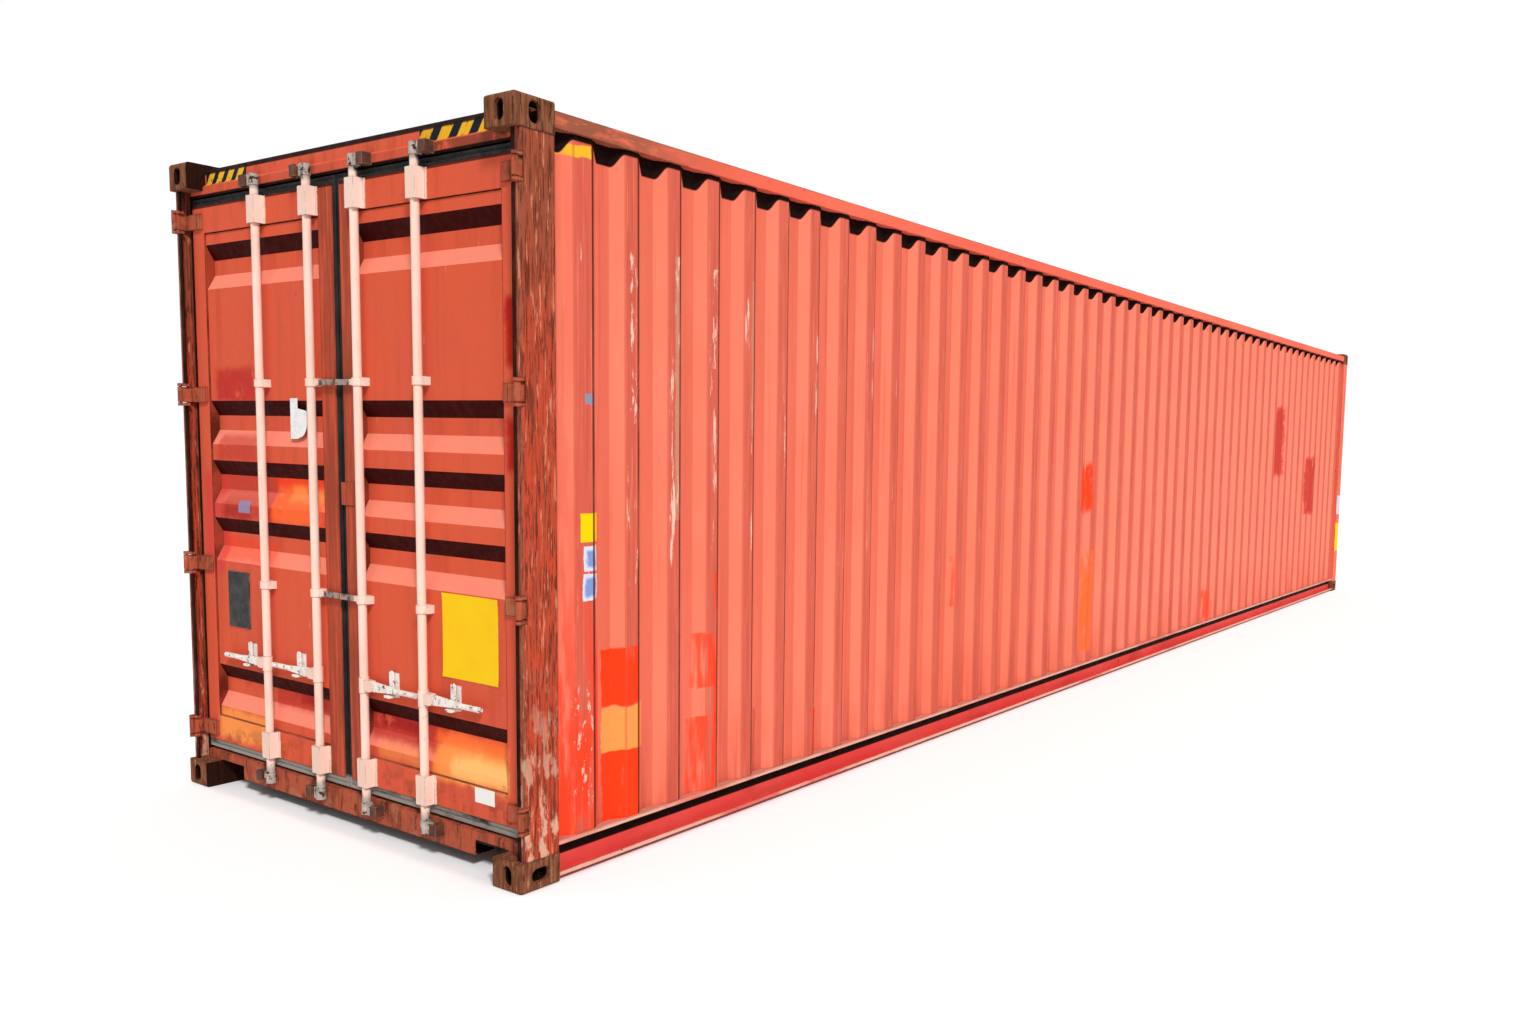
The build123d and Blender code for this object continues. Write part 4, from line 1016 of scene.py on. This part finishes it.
def placard():
    """Thin plate whose free corners lift a little off the sheet."""
    mesh = bmesh.new()
    rows = []
    for row in range(PLACARD_STEPS + 1):
        up = row / PLACARD_STEPS
        line = []
        for column in range(PLACARD_STEPS + 1):
            side = column / PLACARD_STEPS
            y = PLACARD_ACROSS[0] + side * (PLACARD_ACROSS[1] - PLACARD_ACROSS[0])
            z = PLACARD_HEIGHTS[0] + up * (PLACARD_HEIGHTS[1] - PLACARD_HEIGHTS[0])
            lift = PLACARD_CURL * (abs(2 * side - 1) * abs(2 * up - 1)) ** PLACARD_STIFF
            line.append(mesh.verts.new((PANEL_LOW.x - PLACARD_THICK - lift, y, z)))
        rows.append(line)
    for lower, upper in zip(rows, rows[1:]):
        for column in range(PLACARD_STEPS):
            mesh.faces.new((lower[column], lower[column + 1], upper[column + 1], upper[column]))
    piece = add_piece("placard", mesh, "right_door", materials["placard"])
    thicken(piece, PLACARD_THICK)


# Bare white card over a groove of the left door
CARD_ACROSS = (0.258, 0.385)
CARD_HEIGHTS = (1.660, 1.835)
CARD_STEPS = 16
CARD_THICK = 0.0008
CARD_TORN_ABOVE = 0.70
CARD_TORN_WIDTH = 0.45
CARD_ROUND_BELOW = 0.40
CARD_FOOT_WIDTH = 0.4


def card_width(up):
    """Share of the card's width that is left at a share of its height."""
    if up > CARD_TORN_ABOVE:
        return CARD_TORN_WIDTH
    if up < CARD_ROUND_BELOW:
        rounded = math.sqrt(1 - (1 - up / CARD_ROUND_BELOW) ** 2)
        return CARD_FOOT_WIDTH + (1 - CARD_FOOT_WIDTH) * rounded
    return 1.0


def card():
    """Torn card that stays flat where the sheet behind it dips."""
    mesh = bmesh.new()
    low, high = CARD_HEIGHTS
    near, far = CARD_ACROSS
    x = PANEL_LOW.x - CARD_THICK
    rows = []
    for row in range(CARD_STEPS + 1):
        up = row / CARD_STEPS
        z = low + up * (high - low)
        cut = far - card_width(up) * (far - near)
        rows.append((mesh.verts.new((x, far, z)), mesh.verts.new((x, cut, z))))
    for lower, upper in zip(rows, rows[1:]):
        mesh.faces.new((*lower, *reversed(upper)))
    piece = add_piece("card", mesh, "left_door", materials["card"])
    thicken(piece, CARD_THICK)


# Floor sheets
SHEET_LENGTH = 2.40
SHEET_GAP = 0.004
SHEET_EDGE = 0.0025
SCREW_RADIUS = 0.007
SCREW_RISE = 0.0006
SCREW_STEP = 0.30
SCREW_SHARES = (-0.95, -0.66, -0.36, -0.06, 0.06, 0.36, 0.66, 0.95)


def slab(mesh, low, high):
    """Box between two corners."""
    middle = (Vector(low) + Vector(high)) / 2
    size = Vector(high) - Vector(low)
    grown = Matrix.Translation(middle) @ Matrix.Diagonal((*size, 1.0))
    bmesh.ops.create_cube(mesh, size=1.0, matrix=grown)


def floor_sheets():
    """Ply sheets in two rows with screws along the cross members."""
    low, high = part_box("floor")
    sheets = bmesh.new()
    screws = bmesh.new()
    count = round((high.x - low.x) / SHEET_LENGTH)
    length = (high.x - low.x) / count
    for index in range(count):
        for y0, y1 in ((low.y, 0.0), (0.0, high.y)):
            x0 = low.x + index * length
            near = (x0 + SHEET_GAP / 2, y0 + SHEET_GAP / 2, low.z)
            far = (x0 + length - SHEET_GAP / 2, y1 - SHEET_GAP / 2, high.z)
            slab(sheets, near, far)
    bmesh.ops.bevel(sheets, geom=sheets.edges[:], offset=SHEET_EDGE, segments=1, affect="EDGES")
    rows = int((high.x - low.x) / SCREW_STEP)
    for row in range(rows):
        x = low.x + (row + 0.5) * SCREW_STEP
        for share in SCREW_SHARES:
            stud(screws, Vector((x, share * high.y, high.z)), SCREW_RADIUS, SCREW_RISE)
    piece = add_piece("floor_sheets", sheets, "container", materials["plywood"])
    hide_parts("floor")
    add_piece("floor_screws", screws, "container", materials["worn_steel"])


# Screw head: share of its radius at a share of its height
STUD_PROFILE = ((1.0, 0.0), (1.0, 0.35), (0.86, 0.74), (0.5, 0.96))
STUD_SIDES = 10


def stud(mesh, place, radius, height):
    """Domed screw head on a level face."""
    rings = []
    for share, rise in STUD_PROFILE:
        ring = []
        for step in range(STUD_SIDES):
            angle = 2 * math.pi * step / STUD_SIDES
            out = radius * share
            local = Vector((math.cos(angle) * out, math.sin(angle) * out, height * rise))
            ring.append(mesh.verts.new(place + local))
        rings.append(ring)
    for lower, upper in zip(rings, rings[1:]):
        bridge(mesh, lower, upper)
    mesh.faces.new(rings[-1])


def sunlight():
    """One soft sun from behind the camera."""
    sun = bpy.data.lights.new("sun", "SUN")
    sun.energy = SUN_STRENGTH
    sun.angle = SUN_SPREAD
    lamp = bpy.data.objects.new("sun", sun)
    lamp.rotation_mode = "QUATERNION"
    lamp.rotation_quaternion = SUN_FROM.to_track_quat("Z", "Y")
    bpy.context.scene.collection.objects.link(lamp)


def white_sky():
    """Sky that is white where it is seen and dimmer as a light."""
    world = bpy.data.worlds.new("sky")
    world.use_nodes = True
    tree = world.node_tree
    back = tree.nodes["Background"]
    path = tree.nodes.new("ShaderNodeLightPath").outputs
    seen = path["Is Camera Ray"]
    for way in ("Is Glossy Ray", "Is Transmission Ray"):
        either = tree.nodes.new("ShaderNodeMath")
        either.operation = "MAXIMUM"
        tree.links.new(seen, either.inputs[0])
        tree.links.new(path[way], either.inputs[1])
        seen = either.outputs[0]
    strength = tree.nodes.new("ShaderNodeMapRange")
    strength.inputs["To Min"].default_value = SKY_STRENGTH
    strength.inputs["To Max"].default_value = 1.0
    tree.links.new(seen, strength.inputs["Value"])
    tree.links.new(strength.outputs[0], back.inputs["Strength"])
    back.inputs["Color"].default_value = WHITE
    bpy.context.scene.world = world


def floor_paint(name):
    """White floor, a little lifted where the camera sees it, but not under the container."""
    f = Finish(name, FLOOR_WHITE)
    f.layer(FLOOR_BRIGHT, f.cloud(0.3, 0.3, 0.7, end=0.2))
    seen = f.node("ShaderNodeLightPath").outputs["Is Camera Ray"]
    f.shader.inputs["Emission Color"].default_value = WHITE
    under = f.times(f.band(f.x, REAR, FRONT, FLOOR_FADE), f.band(f.y, RIGHT, SIDE, FLOOR_FADE))
    lift = f.times(f.ramp(under, 0.0, 1.0, 1.0, 0.0), f.ramp(seen, 0.0, 1.0, 0.0, FLOOR_LIFT))
    f.feed(f.shader.inputs["Emission Strength"], lift)
    return f.done(roughness=(0.9, 1.0), grain=40.0, depth=0.0, gloss=0.0)


def studio_floor():
    """Wide level floor that takes the shadow."""
    mesh = bmesh.new()
    bmesh.ops.create_grid(mesh, x_segments=1, y_segments=1, size=FLOOR_HALF)
    ground = mesh_object("studio_floor", mesh, floor_paint("studio_floor"))


def main_camera():
    """Camera that takes the main view."""
    camera = bpy.data.objects.new("camera", bpy.data.cameras.new("camera"))
    camera.data.lens = CAMERA_LENS
    camera.data.sensor_width = CAMERA_SENSOR
    camera.data.shift_x, camera.data.shift_y = CAMERA_SHIFT
    camera.data.clip_end = CAMERA_REACH
    camera.location = CAMERA_PLACE
    camera.rotation_mode = "QUATERNION"
    aim = (CAMERA_AIM - CAMERA_PLACE).to_track_quat("-Z", "Y")
    camera.rotation_quaternion = aim @ Matrix.Rotation(CAMERA_ROLL, 4, "Z").to_quaternion()
    bpy.context.scene.collection.objects.link(camera)
    bpy.context.scene.camera = camera


def stage():
    """Plain light, pale floor and the camera."""
    bpy.context.scene.view_settings.view_transform = "Standard"
    sunlight()
    white_sky()
    studio_floor()
    main_camera()


SIDE_WALL = {"run": 0, "deep": 1, "outer": -WALL_LOW.y, "rim": RIM_SHADE}

materials = {
    "right_wall": wall_paint("right_wall_paint", **SIDE_WALL, patched=True),
    "left_wall": wall_paint("left_wall_paint", **SIDE_WALL),
    "front_wall": wall_paint("front_wall_paint", run=1, deep=0, outer=END_HIGH.x),
    "roof": wall_paint("roof_paint", run=0, deep=2, outer=ROOF_HIGH.z),
    "door": door_paint("door_paint"),
    "post": rusted_post("post_rust"),
    "front_post": front_post_paint("front_post_paint"),
    "rail": rail_paint("rail_paint"),
    "lower_rail": lower_rail_paint("lower_rail_paint"),
    "header": header_paint("header_paint"),
    "sill": sill_paint("sill_rust", rim=RUST_DARK, rim_start=0.40),
    "hinge": sill_paint("hinge_rust", rim=GRIME_AND_SHADE, rim_start=0.25),
    "casting": cast_iron("cast_iron"),
    "under": under_paint("under_paint"),
    "gear": gear_paint("gear_paint"),
    "worn_steel": worn_steel("worn_steel"),
    "keeper": keeper_iron("keeper_iron"),
    "rubber": rubber("seal_rubber"),
    "plywood": plywood("plywood"),
    "plate": plate_metal("plate_metal"),
    "placard": placard_paint("placard_paint"),
    "card": card_paper("card_paper"),
}

for sheet in ("right_wall", "left_wall", "front_wall", "roof"):
    dress(materials[sheet], sheet)
dress(materials["post"], "rear_right_post", "rear_left_post")
dress(materials["front_post"], "front_right_post", "front_left_post")
dress(materials["rail"], "right_top_rail", "left_top_rail", "front_header")
dress(materials["lower_rail"], "right_bottom_rail", "left_bottom_rail", "front_sill")
dress(materials["header"], "door_header")
dress(materials["sill"], "door_sill")
dress(materials["hinge"], "right_hinge_lugs", "left_hinge_lugs")
dress(materials["casting"], "top_corner_fittings", "bottom_corner_fittings")
dress(materials["under"], "crossmembers", "gooseneck_tunnel")
dress(materials["plywood"], "floor")
dress(materials["keeper"], "cam_keepers")
dress(materials["plate"], "data_plate")
for side in ("right", "left"):
    dress(materials["door"], f"{side}_door_frame", f"{side}_door_panel")
    dress(materials["hinge"], f"{side}_hinge_blades")
    dress(materials["gear"], f"{side}_rod_brackets")
    dress(materials["worn_steel"], f"{side}_handle_catches")
    dress(materials["rubber"], f"{side}_door_seal")
    for place in ("inner", "outer"):
        dress(materials["gear"], f"{side}_{place}_lock_rod")
        dress(materials["worn_steel"], f"{side}_{place}_handle")

for node in ("right_wall", "left_wall", "front_wall", "right_door_panel", "left_door_panel"):
    soften(node, SHEET_ROUND, 3)
for node in ("top_corner_fittings", "bottom_corner_fittings"):
    soften(node, CAST_ROUND)
for node in ("right_top_rail", "left_top_rail", "front_header", "roof"):
    soften(node, TUBE_ROUND)
for node in ("door_header", "door_sill", "right_bottom_rail", "left_bottom_rail"):
    soften(node, PLATE_ROUND)
for side in ("right", "left"):
    for piece in ("door_frame", "hinge_blades", "rod_brackets", "handle_catches"):
        soften(f"{side}_{piece}", GEAR_ROUND)
    for place in ("inner", "outer"):
        soften(f"{side}_{place}_handle", PLATE_ROUND)

for side, sign in (("right", -1), ("left", 1)):
    door_seal(side, sign)
placard()
card()
floor_sheets()
stage()
